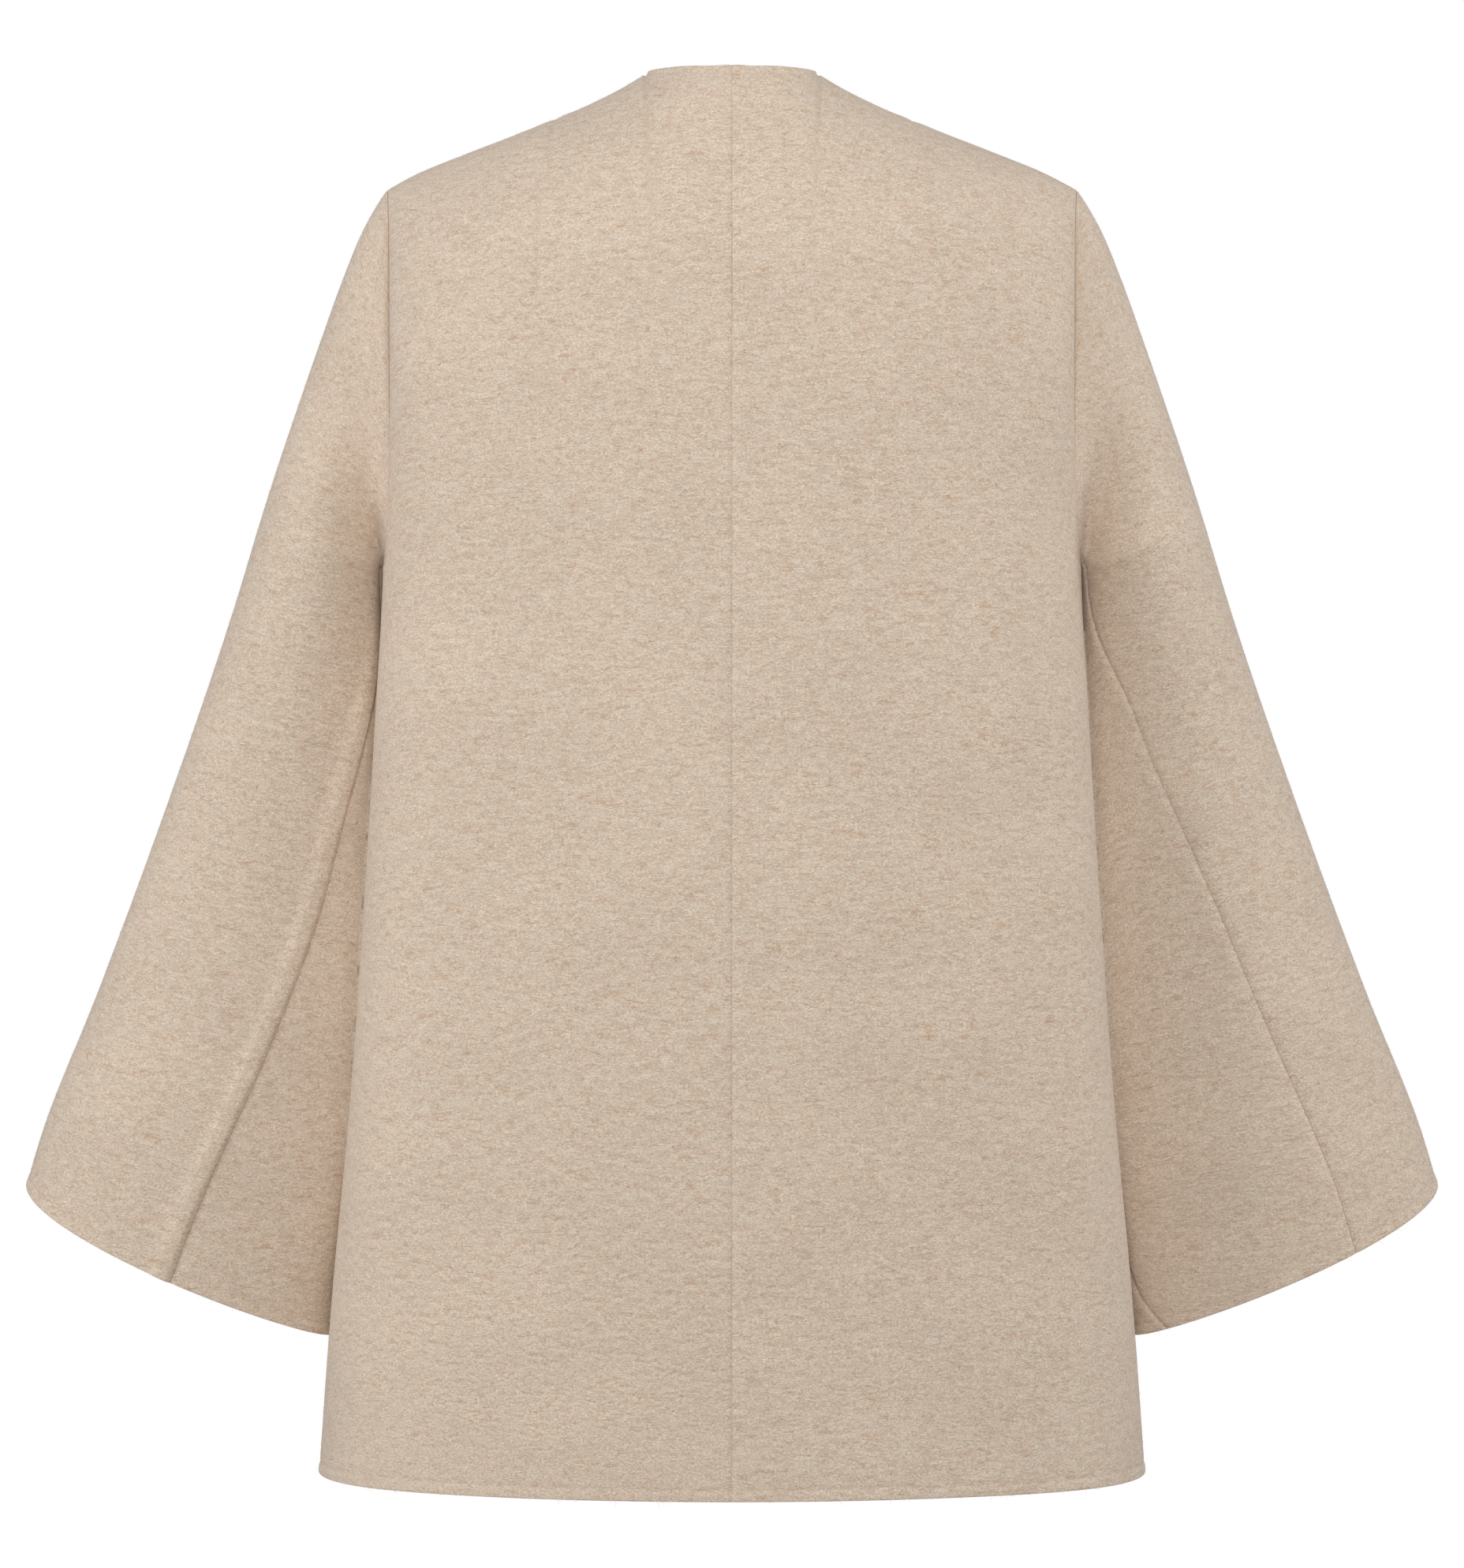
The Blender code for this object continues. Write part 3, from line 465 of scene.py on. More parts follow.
# %% Soft folds of the hanging cloth
Drape = namedtuple("Drape", "name half across height half_across half_height depth")
DRAPES = (
    Drape("between_shoulders", "back", -0.010, -0.270, 0.075, 0.150, -0.0035),
    Drape("below_left_dart", "back", 0.060, -0.540, 0.042, 0.200, -0.0030),
    Drape("below_right_dart", "back", -0.085, -0.600, 0.045, 0.170, -0.0024),
    Drape("left_blade", "back", 0.140, -0.260, 0.045, 0.150, 0.0020),
    Drape("right_blade", "back", -0.145, -0.250, 0.045, 0.140, 0.0018),
    Drape("left_flank", "back", 0.205, -0.560, 0.045, 0.330, 0.0070),
    Drape("right_flank", "back", -0.202, -0.600, 0.050, 0.290, 0.0095),
    Drape("left_front_fall", "front", 0.085, -0.520, 0.050, 0.230, 0.0030),
    Drape("right_front_fall", "front", -0.090, -0.500, 0.050, 0.240, 0.0030),
    Drape("left_front_hollow", "front", 0.160, -0.560, 0.040, 0.190, -0.0025),
    Drape("right_front_hollow", "front", -0.158, -0.590, 0.040, 0.180, -0.0025),
)


def drape(half, points):
    name = "back" if half == BACK else "front"
    out = np.zeros(points.shape[:-1])
    for row in DRAPES:
        if row.half == name:
            x = (points[..., 0] - row.across) / row.half_across
            z = (points[..., 2] - row.height) / row.half_height
            out += row.depth * np.exp(-(x**2) - z**2)
    return out


print("deepest drape", min(row.depth for row in DRAPES))

# %% Heights beside seams and edges
SEAM_DEEP, SEAM_WIDE = 0.0009, 0.0016
FULL_HIGH, FULL_AT, FULL_WIDE = 0.00022, 0.0065, 0.0040
BAND_HIGH, BAND_WIDE = 0.00042, 0.0062
GROOVE_DEEP, GROOVE_WIDE = 0.00050, 0.0011
DART_DEEP, DART_WIDE = 0.0008, 0.0017
DART_FADE, DART_AT_TOP = 0.030, 0.3  # a dart grows shallow towards the shoulder, down to this share
CORNER_DEEP, CORNER_WIDE = 0.0045, 0.028  # how the corners of the neck are eased
CORNER_IN = 0.030  # how far from the middle that easing starts
NECK_RISE, NECK_RISE_WIDE, NECK_RISE_DEEP = 0.0022, 0.040, 0.030  # the back neckline's lift
CENTRE_SEAM, SIDE_SEAM = 0.80, 0.45  # how deep these seams lie, as shares of SEAM_DEEP
RIDGE_HIGH, RIDGE_FROM, RIDGE_TO, RIDGE_FADE = 0.0021, 0.0030, 0.0085, 0.0060
EDGE_ROUND, SEAM_ROUND = CLOTH * 0.47, 0.0004
LAP, LAP_ROUND = 0.0006, 0.0005  # how far an armhole's edge reaches past its line
MEET = SEAM_GAP / 2 / LAP  # the share of that which just closes a seam's gap


def seam_relief(far):
    """Height beside a seam, far metres from it."""
    valley = -SEAM_DEEP * np.exp(-((far / SEAM_WIDE) ** 2))
    return valley + FULL_HIGH * np.exp(-(((far - FULL_AT) / FULL_WIDE) ** 2))


def edge_relief(far):
    """Height beside a turned edge."""
    band = BAND_HIGH * ease((BAND_WIDE + 0.0008 - far) / 0.0016)
    return band - GROOVE_DEEP * np.exp(-(((far - BAND_WIDE) / GROOVE_WIDE) ** 2))


def rounded(far, radius):
    """How far a face drops back towards the middle of the cloth beside a cut end."""
    near = np.clip(1 - far / radius, 0, 1)
    return radius * (1 - np.sqrt(1 - near**2))


print("a turned edge stands", BAND_HIGH * 1000, "mm proud")

# %% [markdown]
# ## The wool
# Double-faced coat wool is spun from cream, tan and grey fibres and then brushed, so it shows short
# streaks that lie across the cloth, and no weave. The streaks follow each piece's own grain, so they
# are drawn in the piece's flat measure, which its UV map keeps in metres.

# %% Wool material
CREAM, BEIGE = (0.73, 0.610, 0.495), (0.64, 0.510, 0.395)
TAN, GREY = (0.56, 0.36, 0.225), (0.42, 0.355, 0.29)
NAP_ROUGH, NAP_SHEEN, NAP_SHEEN_ROUGH = 0.95, 0.35, 0.5
SLEEVE_GRAIN = 0.27  # how far the streaks of a sleeve turn back from its slanting rings


def wool(name):
    material = bpy.data.materials.new(name)
    material.use_nodes = True
    nodes, links = material.node_tree.nodes, material.node_tree.links
    shader = nodes["Principled BSDF"]
    shader.inputs["Roughness"].default_value = NAP_ROUGH
    shader.inputs["Specular IOR Level"].default_value = 0.25
    shader.inputs["Sheen Weight"].default_value = NAP_SHEEN
    shader.inputs["Sheen Roughness"].default_value = NAP_SHEEN_ROUGH
    shader.inputs["Sheen Tint"].default_value = (1.0, 0.95, 0.90, 1)
    flat = nodes.new("ShaderNodeUVMap")
    flat.uv_map = "cloth"

    def noise(across, along, detail, bend=0.0):
        """Noise with this many cells a metre across the cloth and along it."""
        scaled = nodes.new("ShaderNodeVectorMath")
        scaled.operation = "MULTIPLY"
        scaled.inputs[1].default_value = (across, along, 1)
        texture = nodes.new("ShaderNodeTexNoise")
        texture.noise_dimensions = "2D"
        texture.inputs["Scale"].default_value = 1
        texture.inputs["Detail"].default_value = detail
        texture.inputs["Distortion"].default_value = bend
        links.new(flat.outputs["UV"], scaled.inputs[0])
        links.new(scaled.outputs[0], texture.inputs["Vector"])
        return texture.outputs["Fac"]

    def span(value, low, high, start=0.0, end=1.0):
        """Stretches low to high of the value over start to end, and clamps it."""
        mapped = nodes.new("ShaderNodeMapRange")
        mapped.interpolation_type = "SMOOTHSTEP"
        for socket, number in zip(mapped.inputs[1:5], (low, high, start, end)):
            socket.default_value = number
        links.new(value, mapped.inputs[0])
        return mapped.outputs[0]

    def mixed(share, first, second, way="MIX"):
        mix = nodes.new("ShaderNodeMix")
        mix.data_type, mix.blend_type = "RGBA", way
        for socket, value in ((mix.inputs[0], share), (mix.inputs[6], first), (mix.inputs[7], second)):
            if isinstance(value, bpy.types.NodeSocket):
                links.new(value, socket)
            else:
                socket.default_value = value if isinstance(value, float) else (*value, 1)
        return mix.outputs[2]

    streaks = noise(150, 430, 5, 1.0)
    fibres = noise(820, 1500, 3, 0.6)
    colour = mixed(span(streaks, 0.30, 0.66), BEIGE, CREAM)
    colour = mixed(span(noise(150, 420, 4, 1.2), 0.54, 0.73, 0, 0.62), colour, TAN)
    colour = mixed(span(noise(230, 600, 4, 1.0), 0.55, 0.76, 0, 0.50), colour, GREY)
    shades = span(fibres, 0.25, 0.75, 0.78, 1.18)
    patches = span(noise(11, 16, 3), 0.3, 0.7, 0.975, 1.02)
    product = nodes.new("ShaderNodeMath")
    product.operation = "MULTIPLY"
    links.new(shades, product.inputs[0])
    links.new(patches, product.inputs[1])
    grey = nodes.new("ShaderNodeCombineColor")
    for socket in grey.inputs[:3]:
        links.new(product.outputs[0], socket)
    colour = mixed(1.0, colour, grey.outputs[0], "MULTIPLY")
    links.new(colour, shader.inputs["Base Color"])

    bump = nodes.new("ShaderNodeBump")
    bump.inputs["Strength"].default_value = 0.55
    bump.inputs["Distance"].default_value = 0.0006
    links.new(fibres, bump.inputs["Height"])
    soft = nodes.new("ShaderNodeBump")
    soft.inputs["Strength"].default_value = 0.5
    soft.inputs["Distance"].default_value = 0.0012
    links.new(noise(90, 210, 2), soft.inputs["Height"])
    links.new(soft.outputs[0], bump.inputs["Normal"])
    links.new(bump.outputs[0], shader.inputs["Normal"])
    return material


wool_cloth = wool("oatmeal_wool")
print("wool:", len(wool_cloth.node_tree.nodes), "nodes")

# %% [markdown]
# ## Making a piece
# `Sheet` holds one piece: its grid of points, the way each one faces and its distance from each of
# the four edges along the cloth. `shell` gives it the thickness of the wool, with round ends.


# %% Cloth shells
class Sheet:
    def __init__(self, node, points, normal):
        self.node, self.points, self.normal = node, points, normal
        self.relief = np.zeros(points.shape[:2])
        self.drop = np.zeros(points.shape[:2])
        self.lap = np.zeros(points.shape[:2])
        self.grain = 0.0
        across = np.linalg.norm(np.diff(points, axis=1), axis=-1)
        along = np.linalg.norm(np.diff(points, axis=0), axis=-1)
        self.first = np.pad(np.cumsum(across, 1), ((0, 0), (1, 0)))
        self.bottom = np.pad(np.cumsum(along, 0), ((1, 0), (0, 0)))
        self.last = self.first[:, -1:] - self.first
        self.top = self.bottom[-1:] - self.bottom

    def sewn(self, far, where=1.0):
        self.relief += seam_relief(far) * where
        self.drop = np.maximum(self.drop, rounded(far, SEAM_ROUND) * where)
        self.lap = np.maximum(self.lap, np.where(far == 0, MEET * where, 0))

    def lapped(self, far, where=1.0):
        """An armhole's edge, which lies close against its neighbour."""
        self.drop = np.maximum(self.drop, rounded(far, LAP_ROUND) * where)
        self.lap = np.maximum(self.lap, np.where(far == 0, where, 0))

    def turned(self, far, where=1.0):
        self.relief += edge_relief(far) * where
        self.drop = np.maximum(self.drop, rounded(far, EDGE_ROUND) * where)


def flat_size(sheet):
    """Width, length and area of the cut piece, measured along the cloth."""
    p = sheet.points
    cross = np.cross(p[1:, 1:] - p[:-1, :-1], p[1:, :-1] - p[:-1, 1:])
    return sheet.first[:, -1].max(), sheet.bottom[-1].max(), float(np.linalg.norm(cross, axis=-1).sum() / 2)


def outward_quads(sheet):
    """The grid's point numbers, its quads facing outwards, and whether they had to be turned."""
    rows, columns = sheet.points.shape[:2]
    number = np.arange(rows * columns).reshape(rows, columns)
    quads = np.stack([number[:-1, :-1], number[:-1, 1:], number[1:, 1:], number[1:, :-1]], -1).reshape(-1, 4)
    turn = np.cross(np.gradient(sheet.points, axis=1), np.gradient(sheet.points, axis=0))
    turned = (turn * sheet.normal).sum() < 0
    return number, quads[:, ::-1] if turned else quads, turned


def shell(sheet, uv_start):
    inward = np.zeros(sheet.points.shape)
    for at, inner in (((slice(None), 0), 1), ((slice(None), -1), -2)):
        inward[at] += unit(sheet.points[:, inner] - sheet.points[at])
    inward[0] += unit(sheet.points[1] - sheet.points[0])
    inward[-1] += unit(sheet.points[-2] - sheet.points[-1])
    middle = sheet.points + inward * (SEAM_GAP / 2 - sheet.lap * LAP)[..., None]
    outer = middle + sheet.normal * (sheet.relief - sheet.drop)[..., None]
    inner = middle - sheet.normal * (CLOTH - 0.6 * sheet.relief.clip(-0.001, 0) - sheet.drop)[..., None]
    number, quads, turned = outward_quads(sheet)
    shift = number.size
    rim = np.concatenate([number[0, :-1], number[:-1, -1], number[-1, :0:-1], number[:0:-1, 0]])
    after = np.roll(rim, -1)
    sides = np.stack([rim, rim + shift, after + shift, after], -1)
    if turned:
        sides = sides[:, ::-1]
    faces = np.concatenate([quads, quads[:, ::-1] + shift, sides])
    mesh = bpy.data.meshes.new(sheet.node)
    mesh.vertices.add(2 * shift)
    mesh.vertices.foreach_set("co", np.concatenate([outer, inner]).astype(np.float32).ravel())
    mesh.loops.add(faces.size)
    mesh.loops.foreach_set("vertex_index", faces.ravel())
    mesh.polygons.add(len(faces))
    mesh.polygons.foreach_set("loop_start", np.arange(0, faces.size, 4))
    uv = mesh.uv_layers.new(name="cloth")
    flat = np.stack([sheet.first, sheet.bottom + sheet.grain * sheet.first], -1).reshape(-1, 2) + uv_start
    uv.data.foreach_set("uv", flat[faces.ravel() % shift].astype(np.float32).ravel())
    mesh.validate()
    mesh.shade_smooth()
    mesh.materials.append(wool_cloth)
    obj = bpy.data.objects.new("wool_" + sheet.node, mesh)
    bpy.context.scene.collection.objects.link(obj)
    return obj


def mirrored(points, side):
    return points * [side, 1, 1]


def side_name(side):
    return "left" if side == LEFT else "right"


print("cloth is", CLOTH * 1000, "mm thick")

# %% [markdown]
# ## Backs and fronts
# Each has the hem below, the side seam and the armhole at its side, and the shoulder seam and
# neckline on top. The two backs are sewn down the centre, and the fronts have a turned front edge.


# %% Backs and fronts
def body_sheet(side, half):
    low = AT_UNDERARM * places(0.52, both=False)[:-1]
    middle = AT_UNDERARM + (AT_YOKE - AT_UNDERARM) * np.linspace(0, 1, max(4, round(0.115 / STEP)))[:-1]
    high = AT_YOKE + (1 - AT_YOKE) * (1 - places(0.17, both=False)[::-1])
    rows = np.concatenate([low, middle, high])
    columns = places(0.25, [(AT_NECK, ()), (AT_DART, NEAR_DART if half == BACK else ())])
    up, a = np.meshgrid(rows, columns, indexing="ij")
    dart = dart_t(side, half, rows)[:, None]
    to_dart = NECK_T + (a - AT_NECK) / (AT_DART - AT_NECK) * (dart - NECK_T)
    t = np.where(a < AT_NECK, a / AT_NECK * NECK_T, to_dart)
    t = np.where(a > AT_DART, dart + (a - AT_DART) / (1 - AT_DART) * (1 - dart), t)
    t[:, -1] = 1
    points, normal = facing(lambda b, c: body(half, b, c), up, t)
    points, normal = mirrored(points, side), mirrored(normal * half, side)
    points = points + normal * (drape(half, points) * ease((1 - t) / 0.35))[..., None]
    from_corner = np.linalg.norm(points - points[-1, np.argmin(np.abs(columns - AT_NECK))], axis=-1)
    eased = CORNER_DEEP * np.exp(-((from_corner / CORNER_WIDE) ** 2))
    eased = eased * ease((np.abs(points[..., 0]) - CORNER_IN) / (NECK_HALF - CORNER_IN))
    points = points - normal * eased[..., None]
    if half == BACK:
        from_top = points[-1:, :, 2].max() - points[..., 2]
        risen = np.exp(-((points[..., 0] / NECK_RISE_WIDE) ** 4) - (from_top / NECK_RISE_DEEP) ** 2)
        points = points + [0, 0, NECK_RISE] * risen[..., None]
    sheet = Sheet(("back_" if half == BACK else "front_") + side_name(side), points, normal)
    neckline = ease((AT_NECK - a) / 0.02 + 0.5)
    sheet.turned(sheet.bottom)
    sheet.turned(sheet.top, neckline)
    sheet.sewn(sheet.top, 1 - neckline)
    hanging = (up <= AT_UNDERARM).astype(float)
    sheet.sewn(sheet.last, hanging * SIDE_SEAM)
    sheet.lapped(sheet.last, 1 - hanging)
    if half == FRONT:
        sheet.turned(sheet.first)
        return sheet
    sheet.sewn(sheet.first, CENTRE_SEAM)
    beside = np.abs(sheet.first - sheet.first[:, columns == columns[np.argmin(np.abs(columns - AT_DART))]])
    shown = ease((points[..., 2] - DART_END[side]) / 0.045)
    shown = shown * (DART_AT_TOP + (1 - DART_AT_TOP) * ease(sheet.top / DART_FADE))
    fullness = FULL_HIGH * np.exp(-(((beside - FULL_AT) / FULL_WIDE) ** 2))
    sheet.relief += shown * (fullness - DART_DEEP * np.exp(-((beside / DART_WIDE) ** 2)))
    return sheet


sheets = [body_sheet(side, half) for half in (BACK, FRONT) for side in (LEFT, RIGHT)]
for sheet in sheets:
    print(sheet.node, "grid", sheet.points.shape[:2], "cut", [round(float(x), 3) for x in flat_size(sheet)])

# %% [markdown]
# ## Sleeves
# The upper piece runs from cuff to shoulder and is set into the armhole; the under piece ends below
# the underarm. On the left sleeve the allowance of the back seam is pressed to the outer side, and
# stands up under the cloth as a soft ridge about as wide as a finger.


# %% Upper and under sleeves
def upper_sheet(side):
    low = AT_PIT * places(0.44, both=False)[:-1]
    high = AT_PIT + (1 - AT_PIT) * (1 - places(0.17, both=False)[::-1])
    columns = places(0.33)
    up, a = np.meshgrid(np.concatenate([low, high]), columns, indexing="ij")
    first = np.where(up < AT_SEAM_TOP, seam_place(side, "back", up), 0)
    last = np.where(up < AT_SEAM_TOP, seam_place(side, "under", up), 1)
    u = first + (last - first) * a
    points, normal = facing(sleeve, up, u)
    sheet = Sheet("sleeve_upper_" + side_name(side), mirrored(points, side), mirrored(normal, side))
    sheet.grain = SLEEVE_GRAIN
    sheet.turned(sheet.bottom)
    sheet.lapped(sheet.top)
    free = (up <= AT_SEAM_TOP).astype(float)
    for far in (sheet.first, sheet.last):
        sheet.sewn(far, free)
        sheet.lapped(far, 1 - free)
    if side == LEFT:
        far = sheet.first
        ridge = ease(far / RIDGE_FROM + 0.15) * ease((RIDGE_TO + RIDGE_FADE - far) / RIDGE_FADE)
        sheet.relief += RIDGE_HIGH * ridge * ease((AT_PIT - up) / 0.10)
    return sheet


def under_sheet(side):
    rise, a = np.meshgrid(places(0.44), places(0.11), indexing="ij")
    up = rise * (AT_PIT + (AT_SEAM_TOP - AT_PIT) * np.abs(2 * a - 1))
    seam_up = rise * AT_SEAM_TOP
    first, last = seam_place(side, "under", seam_up) - 1, seam_place(side, "back", seam_up)
    u = first + (last - first) * a
    u[-1] = np.where(a[-1] < 0.5, 1, 0)
    points, normal = facing(sleeve, up, u)
    sheet = Sheet("sleeve_under_" + side_name(side), mirrored(points, side), mirrored(normal, side))
    sheet.grain = SLEEVE_GRAIN
    sheet.turned(sheet.bottom)
    sheet.lapped(sheet.top)
    sheet.sewn(sheet.first)
    sheet.sewn(sheet.last)
    return sheet


sleeve_sheets = [make(side) for make in (upper_sheet, under_sheet) for side in (LEFT, RIGHT)]
for sheet in sleeve_sheets:
    print(sheet.node, "grid", sheet.points.shape[:2], "cut", [round(float(x), 3) for x in flat_size(sheet)])
sheets += sleeve_sheets

# %% Shells of wool
pieces = {}
for number, sheet in enumerate(sheets):
    pieces[sheet.node] = shell(sheet, (0.0, 1.37 * number))
print("faces", {name: len(obj.data.polygons) for name, obj in pieces.items()})

# %% [markdown]
# ## Nap and hand stitches
# Loose fibre ends stand off brushed wool. Each is a fine curved blade, and a node tree scatters them
# over the outer face of a piece. A second tree sets the small hand stitches that hold down the turned
# edge of each cuff, and lays each one along the edge.

# %% Node trees
NAP_LONG, NAP_WIDE, NAP_RISE, NAP_DENSITY = 0.0036, 0.00011, 0.0007, 70000.0
STITCH_LONG, STITCH_THICK, STITCH_EVERY, STITCH_AT = 0.0020, 0.00045, 0.0120, 0.0068
STITCH_START, STITCH_END = 0.0072, 0.004  # how far from a piece's two sides the stitches stop
STITCH_SUNK, STITCH_AHEAD = 0.15, 0.001  # the share of its thickness sunk, and the step that aims it


def small_mesh(name, points, faces):
    mesh = bpy.data.meshes.new(name)
    mesh.from_pydata(points, [], faces)
    mesh.shade_smooth()
    return bpy.data.objects.new(name, mesh)


def new_tree(name, inputs):
    tree = bpy.data.node_groups.new(name, "GeometryNodeTree")
    sockets = {}
    for label, kind in [("Geometry", "Geometry"), *inputs]:
        sockets[label] = tree.interface.new_socket(label, in_out="INPUT", socket_type="NodeSocket" + kind)
    tree.interface.new_socket("Geometry", in_out="OUTPUT", socket_type="NodeSocketGeometry")
    return tree, {label: socket.identifier for label, socket in sockets.items()}


def finish_tree(tree, start, points, rotation, size):
    """Instances of the small piece on the points, realized, in the material."""
    nodes, links = tree.nodes, tree.links
    piece = nodes.new("GeometryNodeObjectInfo")
    spread = nodes.new("GeometryNodeInstanceOnPoints")
    real = nodes.new("GeometryNodeRealizeInstances")
    paint = nodes.new("GeometryNodeSetMaterial")
    end = nodes.new("NodeGroupOutput")
    links.new(start.outputs["Piece"], piece.inputs["Object"])
    links.new(points, spread.inputs["Points"])
    links.new(piece.outputs["Geometry"], spread.inputs["Instance"])
    links.new(rotation, spread.inputs["Rotation"])
    links.new(size, spread.inputs["Scale"])
    links.new(spread.outputs[0], real.inputs[0])
    links.new(real.outputs[0], paint.inputs["Geometry"])
    links.new(start.outputs["Material"], paint.inputs["Material"])
    links.new(paint.outputs[0], end.inputs[0])


def nap_tree():
    tree, sockets = new_tree(
        "nap", [("Density", "Float"), ("Seed", "Int"), ("Piece", "Object"), ("Material", "Material")]
    )
    nodes, links = tree.nodes, tree.links
    start = nodes.new("NodeGroupInput")
    scatter = nodes.new("GeometryNodeDistributePointsOnFaces")
    turn = nodes.new("FunctionNodeRandomValue")
    turn.data_type = "FLOAT"
    turn.inputs[3].default_value = 2 * math.pi
    angles = nodes.new("ShaderNodeCombineXYZ")
    turned = nodes.new("FunctionNodeRotateRotation")
    turned.rotation_space = "LOCAL"
    size = nodes.new("FunctionNodeRandomValue")
    size.data_type = "FLOAT"
    size.inputs[2].default_value, size.inputs[3].default_value = 0.5, 1.3
    links.new(start.outputs["Geometry"], scatter.inputs["Mesh"])
    links.new(start.outputs["Density"], scatter.inputs["Density"])
    links.new(start.outputs["Seed"], scatter.inputs["Seed"])
    links.new(start.outputs["Seed"], turn.inputs["Seed"])
    links.new(start.outputs["Seed"], size.inputs["Seed"])
    links.new(turn.outputs[1], angles.inputs["Z"])
    links.new(scatter.outputs["Rotation"], turned.inputs["Rotation"])
    links.new(angles.outputs[0], turned.inputs["Rotate By"])
    finish_tree(tree, start, scatter.outputs["Points"], turned.outputs[0], size.outputs[1])
    return tree, sockets


def stitch_tree():
    tree, sockets = new_tree("stitches", [("Piece", "Object"), ("Material", "Material"), ("Size", "Float")])
    nodes, links = tree.nodes, tree.links
    start = nodes.new("NodeGroupInput")
    points = nodes.new("GeometryNodeMeshToPoints")
    turns = []
    for label, axis in (("out", "Z"), ("along", "X")):
        vector_in = nodes.new("GeometryNodeInputNamedAttribute")
        vector_in.data_type = "FLOAT_VECTOR"
        vector_in.inputs["Name"].default_value = label
        align = nodes.new("FunctionNodeAlignRotationToVector")
        align.axis = axis
        links.new(vector_in.outputs[0], align.inputs["Vector"])
        turns.append(align)
    turns[1].pivot_axis = "Z"
    links.new(turns[0].outputs[0], turns[1].inputs["Rotation"])
    links.new(start.outputs["Geometry"], points.inputs["Mesh"])
    finish_tree(tree, start, points.outputs[0], turns[1].outputs[0], start.outputs["Size"])
    return tree, sockets


def grown(source, tree, sockets, values, name):
    """The tree's result on this object, as a plain mesh object. The source is removed."""
    bpy.context.scene.collection.objects.link(source)
    modifier = source.modifiers.new(name, "NODES")
    modifier.node_group = tree
    for label, value in values.items():
        modifier[sockets[label]] = value
    bpy.context.view_layer.update()
    evaluated = source.evaluated_get(bpy.context.evaluated_depsgraph_get())
    mesh = bpy.data.meshes.new_from_object(evaluated)
    mesh.name = name
    source.modifiers.remove(modifier)
    bpy.data.objects.remove(source)
    obj = bpy.data.objects.new(name, mesh)
    bpy.context.scene.collection.objects.link(obj)
    return obj


def thread_material(name, first, second):
    """Fibre ends, each a little different."""
    material = bpy.data.materials.new(name)
    material.use_nodes = True
    nodes, links = material.node_tree.nodes, material.node_tree.links
    shader = nodes["Principled BSDF"]
    shader.inputs["Roughness"].default_value = 0.9
    shader.inputs["Specular IOR Level"].default_value = 0.2
    each = nodes.new("ShaderNodeNewGeometry")
    mix = nodes.new("ShaderNodeMix")
    mix.data_type = "RGBA"
    mix.inputs[6].default_value, mix.inputs[7].default_value = (*first, 1), (*second, 1)
    links.new(each.outputs["Random Per Island"], mix.inputs[0])
    links.new(mix.outputs[2], shader.inputs["Base Color"])
    return material


print("fibre ends a square metre:", NAP_DENSITY)

# %% Loose fibre ends and cuff stitches
half_wide = NAP_WIDE / 2
blade = small_mesh(
    "fibre_end",
    [(0, -half_wide, 0), (0, half_wide, 0), (NAP_LONG * 0.5, half_wide * 0.8, NAP_RISE * 0.75),
     (NAP_LONG * 0.5, -half_wide * 0.8, NAP_RISE * 0.75), (NAP_LONG, 0, NAP_RISE)],
    [(0, 3, 2, 1), (3, 4, 2)],
)
ring_turns = [(math.cos(k * math.pi / 3), math.sin(k * math.pi / 3)) for k in range(6)]
stitch_rings = [(-0.5, 0.25), (-0.3, 0.9), (0.0, 1.0), (0.3, 0.9), (0.5, 0.25)]
stitch_points = [
    (STITCH_LONG * x, STITCH_THICK / 2 * r * c, STITCH_THICK / 2 * r * h)
    for x, r in stitch_rings
    for c, h in ring_turns
]
stitch_faces = [
    (6 * i + k, 6 * i + (k + 1) % 6, 6 * i + 6 + (k + 1) % 6, 6 * i + 6 + k)
    for i in range(4)
    for k in range(6)
]
stitch = small_mesh("stitch", stitch_points, [*stitch_faces, tuple(range(5, -1, -1)), tuple(range(24, 30))])

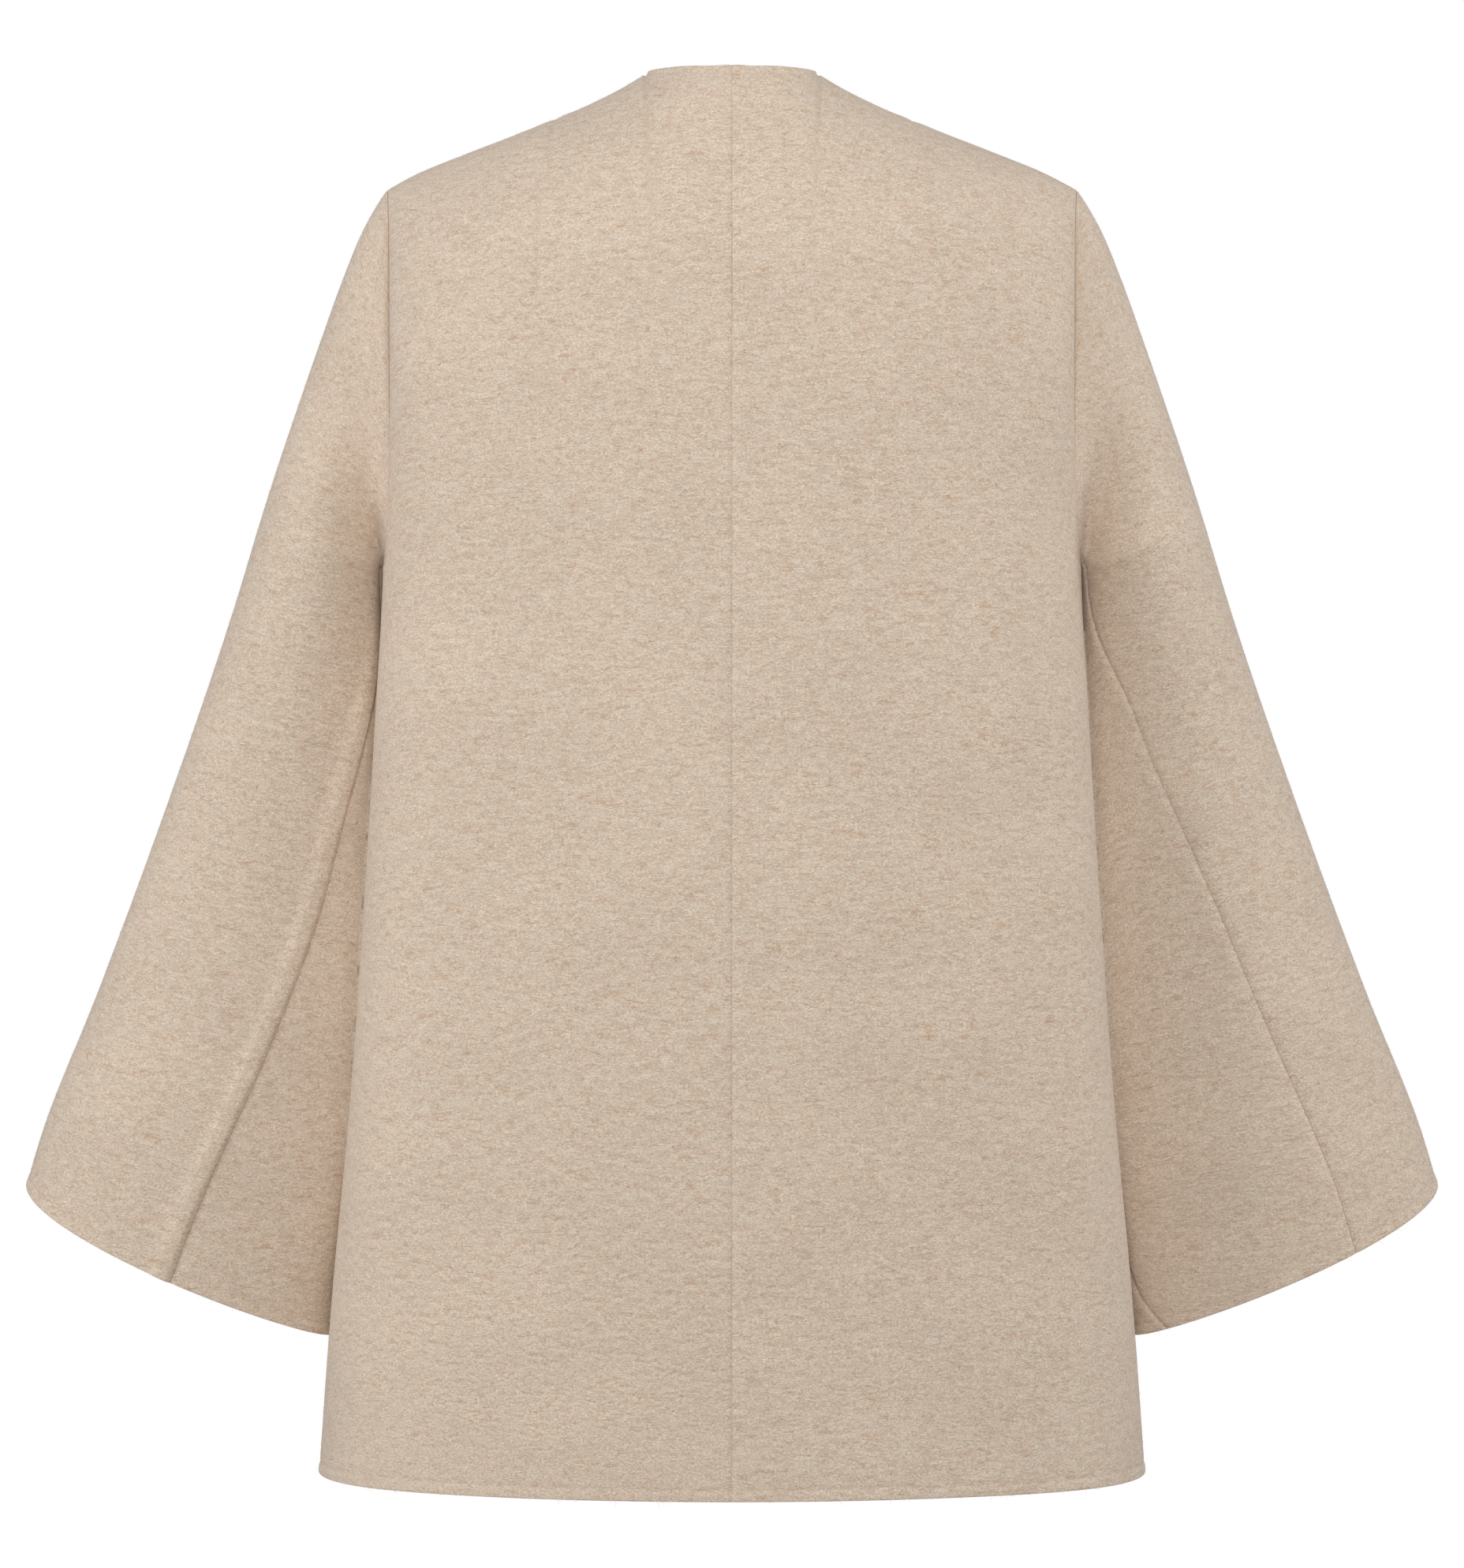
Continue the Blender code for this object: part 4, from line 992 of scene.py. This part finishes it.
nap_wool = thread_material("nap_wool", CREAM, TAN)
cuff_thread = thread_material("cuff_thread", BEIGE, TAN)
tree, sockets = nap_tree()
sewing, sewing_sockets = stitch_tree()
extras = {}
for number, sheet in enumerate(sheets):
    outer = sheet.points + sheet.normal * sheet.relief[..., None]
    skin = small_mesh("skin", outer.reshape(-1, 3).tolist(), outward_quads(sheet)[1].tolist())
    density = NAP_DENSITY * 1.0
    values = {"Density": density, "Seed": 11 + number, "Piece": blade, "Material": nap_wool}
    extras[sheet.node] = [grown(skin, tree, sockets, values, "nap_" + sheet.node)]
    if sheet.node.startswith("sleeve"):
        row = int(np.argmin(np.abs(sheet.bottom[:, outer.shape[1] // 2] - STITCH_AT)))
        along = sheet.first[row]
        spots = np.arange(STITCH_START, along[-1] - STITCH_END, STITCH_EVERY)
        line = np.stack([np.interp(spots, along, outer[row, :, k]) for k in range(3)], -1)
        ahead = np.stack([np.interp(spots + STITCH_AHEAD, along, outer[row, :, k]) for k in range(3)], -1)
        out = unit(np.stack([np.interp(spots, along, sheet.normal[row, :, k]) for k in range(3)], -1))
        dots = small_mesh("dots", (line - out * STITCH_THICK * STITCH_SUNK).tolist(), [])
        for label, vectors in (("out", out), ("along", unit(ahead - line))):
            data = dots.data.attributes.new(label, "FLOAT_VECTOR", "POINT")
            data.data.foreach_set("vector", vectors.astype(np.float32).ravel())
        values = {"Piece": stitch, "Material": cuff_thread, "Size": 1.0}
        extras[sheet.node].append(grown(dots, sewing, sewing_sockets, values, "stitches_" + sheet.node))
print("fibre faces", {name: len(objects[0].data.polygons) for name, objects in extras.items()})

# %% [markdown]
# ## Studio
# A plain pale floor far below the hem, a white surround, and three large soft lights. Two stand far
# out to the sides, so the coat's flanks are as bright as its middle and the body shades the sleeves
# beside it. The third is above the camera, and its light falls off towards the hem.

# %% Floor and light
FLOOR_Z, FLOOR_SIZE = -1.45, 5.0
SURROUND, BACKGROUND = 0.18, 1.0
LIGHT_FAR, LIGHT_SIZE = 2.9, 1.5
Light = namedtuple("Light", "name turn climb power")  # degrees to the left of the camera, and above it
LIGHTS = (
    Light("left", 66, 10, 34.0),
    Light("right", -78, 20, 29.0),
    Light("front", -3, 38, 46.0),
)


def area_light(row):
    turn, climb = math.radians(row.turn), math.radians(row.climb)
    way = Vector((math.sin(turn) * math.cos(climb), math.cos(turn) * math.cos(climb), math.sin(climb)))
    light = bpy.data.objects.new(row.name, bpy.data.lights.new(row.name, "AREA"))
    light.data.shape, light.data.size, light.data.energy = "SQUARE", LIGHT_SIZE, row.power
    light.location = Vector((0, 0, VIEW_HEIGHT)) + way * LIGHT_FAR
    light.rotation_euler = way.to_track_quat("Z", "Y").to_euler()
    bpy.context.scene.collection.objects.link(light)


floor_mesh = bpy.data.meshes.new("floor")
half_floor = FLOOR_SIZE / 2
corners = [(x * half_floor, y * half_floor, FLOOR_Z) for x, y in ((-1, -1), (1, -1), (1, 1), (-1, 1))]
floor_mesh.from_pydata(corners, [], [(0, 1, 2, 3)])
floor = bpy.data.objects.new("floor", floor_mesh)
pale = bpy.data.materials.new("pale_floor")
pale.use_nodes = True
pale.node_tree.nodes["Principled BSDF"].inputs["Base Color"].default_value = (0.85, 0.85, 0.84, 1)
pale.node_tree.nodes["Principled BSDF"].inputs["Roughness"].default_value = 0.9
floor_mesh.materials.append(pale)
bpy.context.scene.collection.objects.link(floor)

surround = bpy.data.worlds.new("studio")
surround.use_nodes = True
backdrop = surround.node_tree.nodes["Background"]
backdrop.inputs["Color"].default_value = (1, 1, 1, 1)
seen = surround.node_tree.nodes.new("ShaderNodeLightPath")
strength = surround.node_tree.nodes.new("ShaderNodeMapRange")
strength.inputs["To Min"].default_value, strength.inputs["To Max"].default_value = SURROUND, BACKGROUND
surround.node_tree.links.new(seen.outputs["Is Camera Ray"], strength.inputs["Value"])
surround.node_tree.links.new(strength.outputs[0], backdrop.inputs["Strength"])
bpy.context.scene.world = surround
bpy.context.scene.view_settings.view_transform = "Standard"
for row in LIGHTS:
    area_light(row)
print("floor at", FLOOR_Z)

# %% [markdown]
# ## What stands for what
# Each shell rides on the coat's one body and takes the place of its solid.

# %% Hand over
for sheet in sheets:
    piece = pieces[sheet.node]
    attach(piece, "root")
    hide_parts(sheet.node)
    for extra in extras[sheet.node]:
        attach(extra, "root")
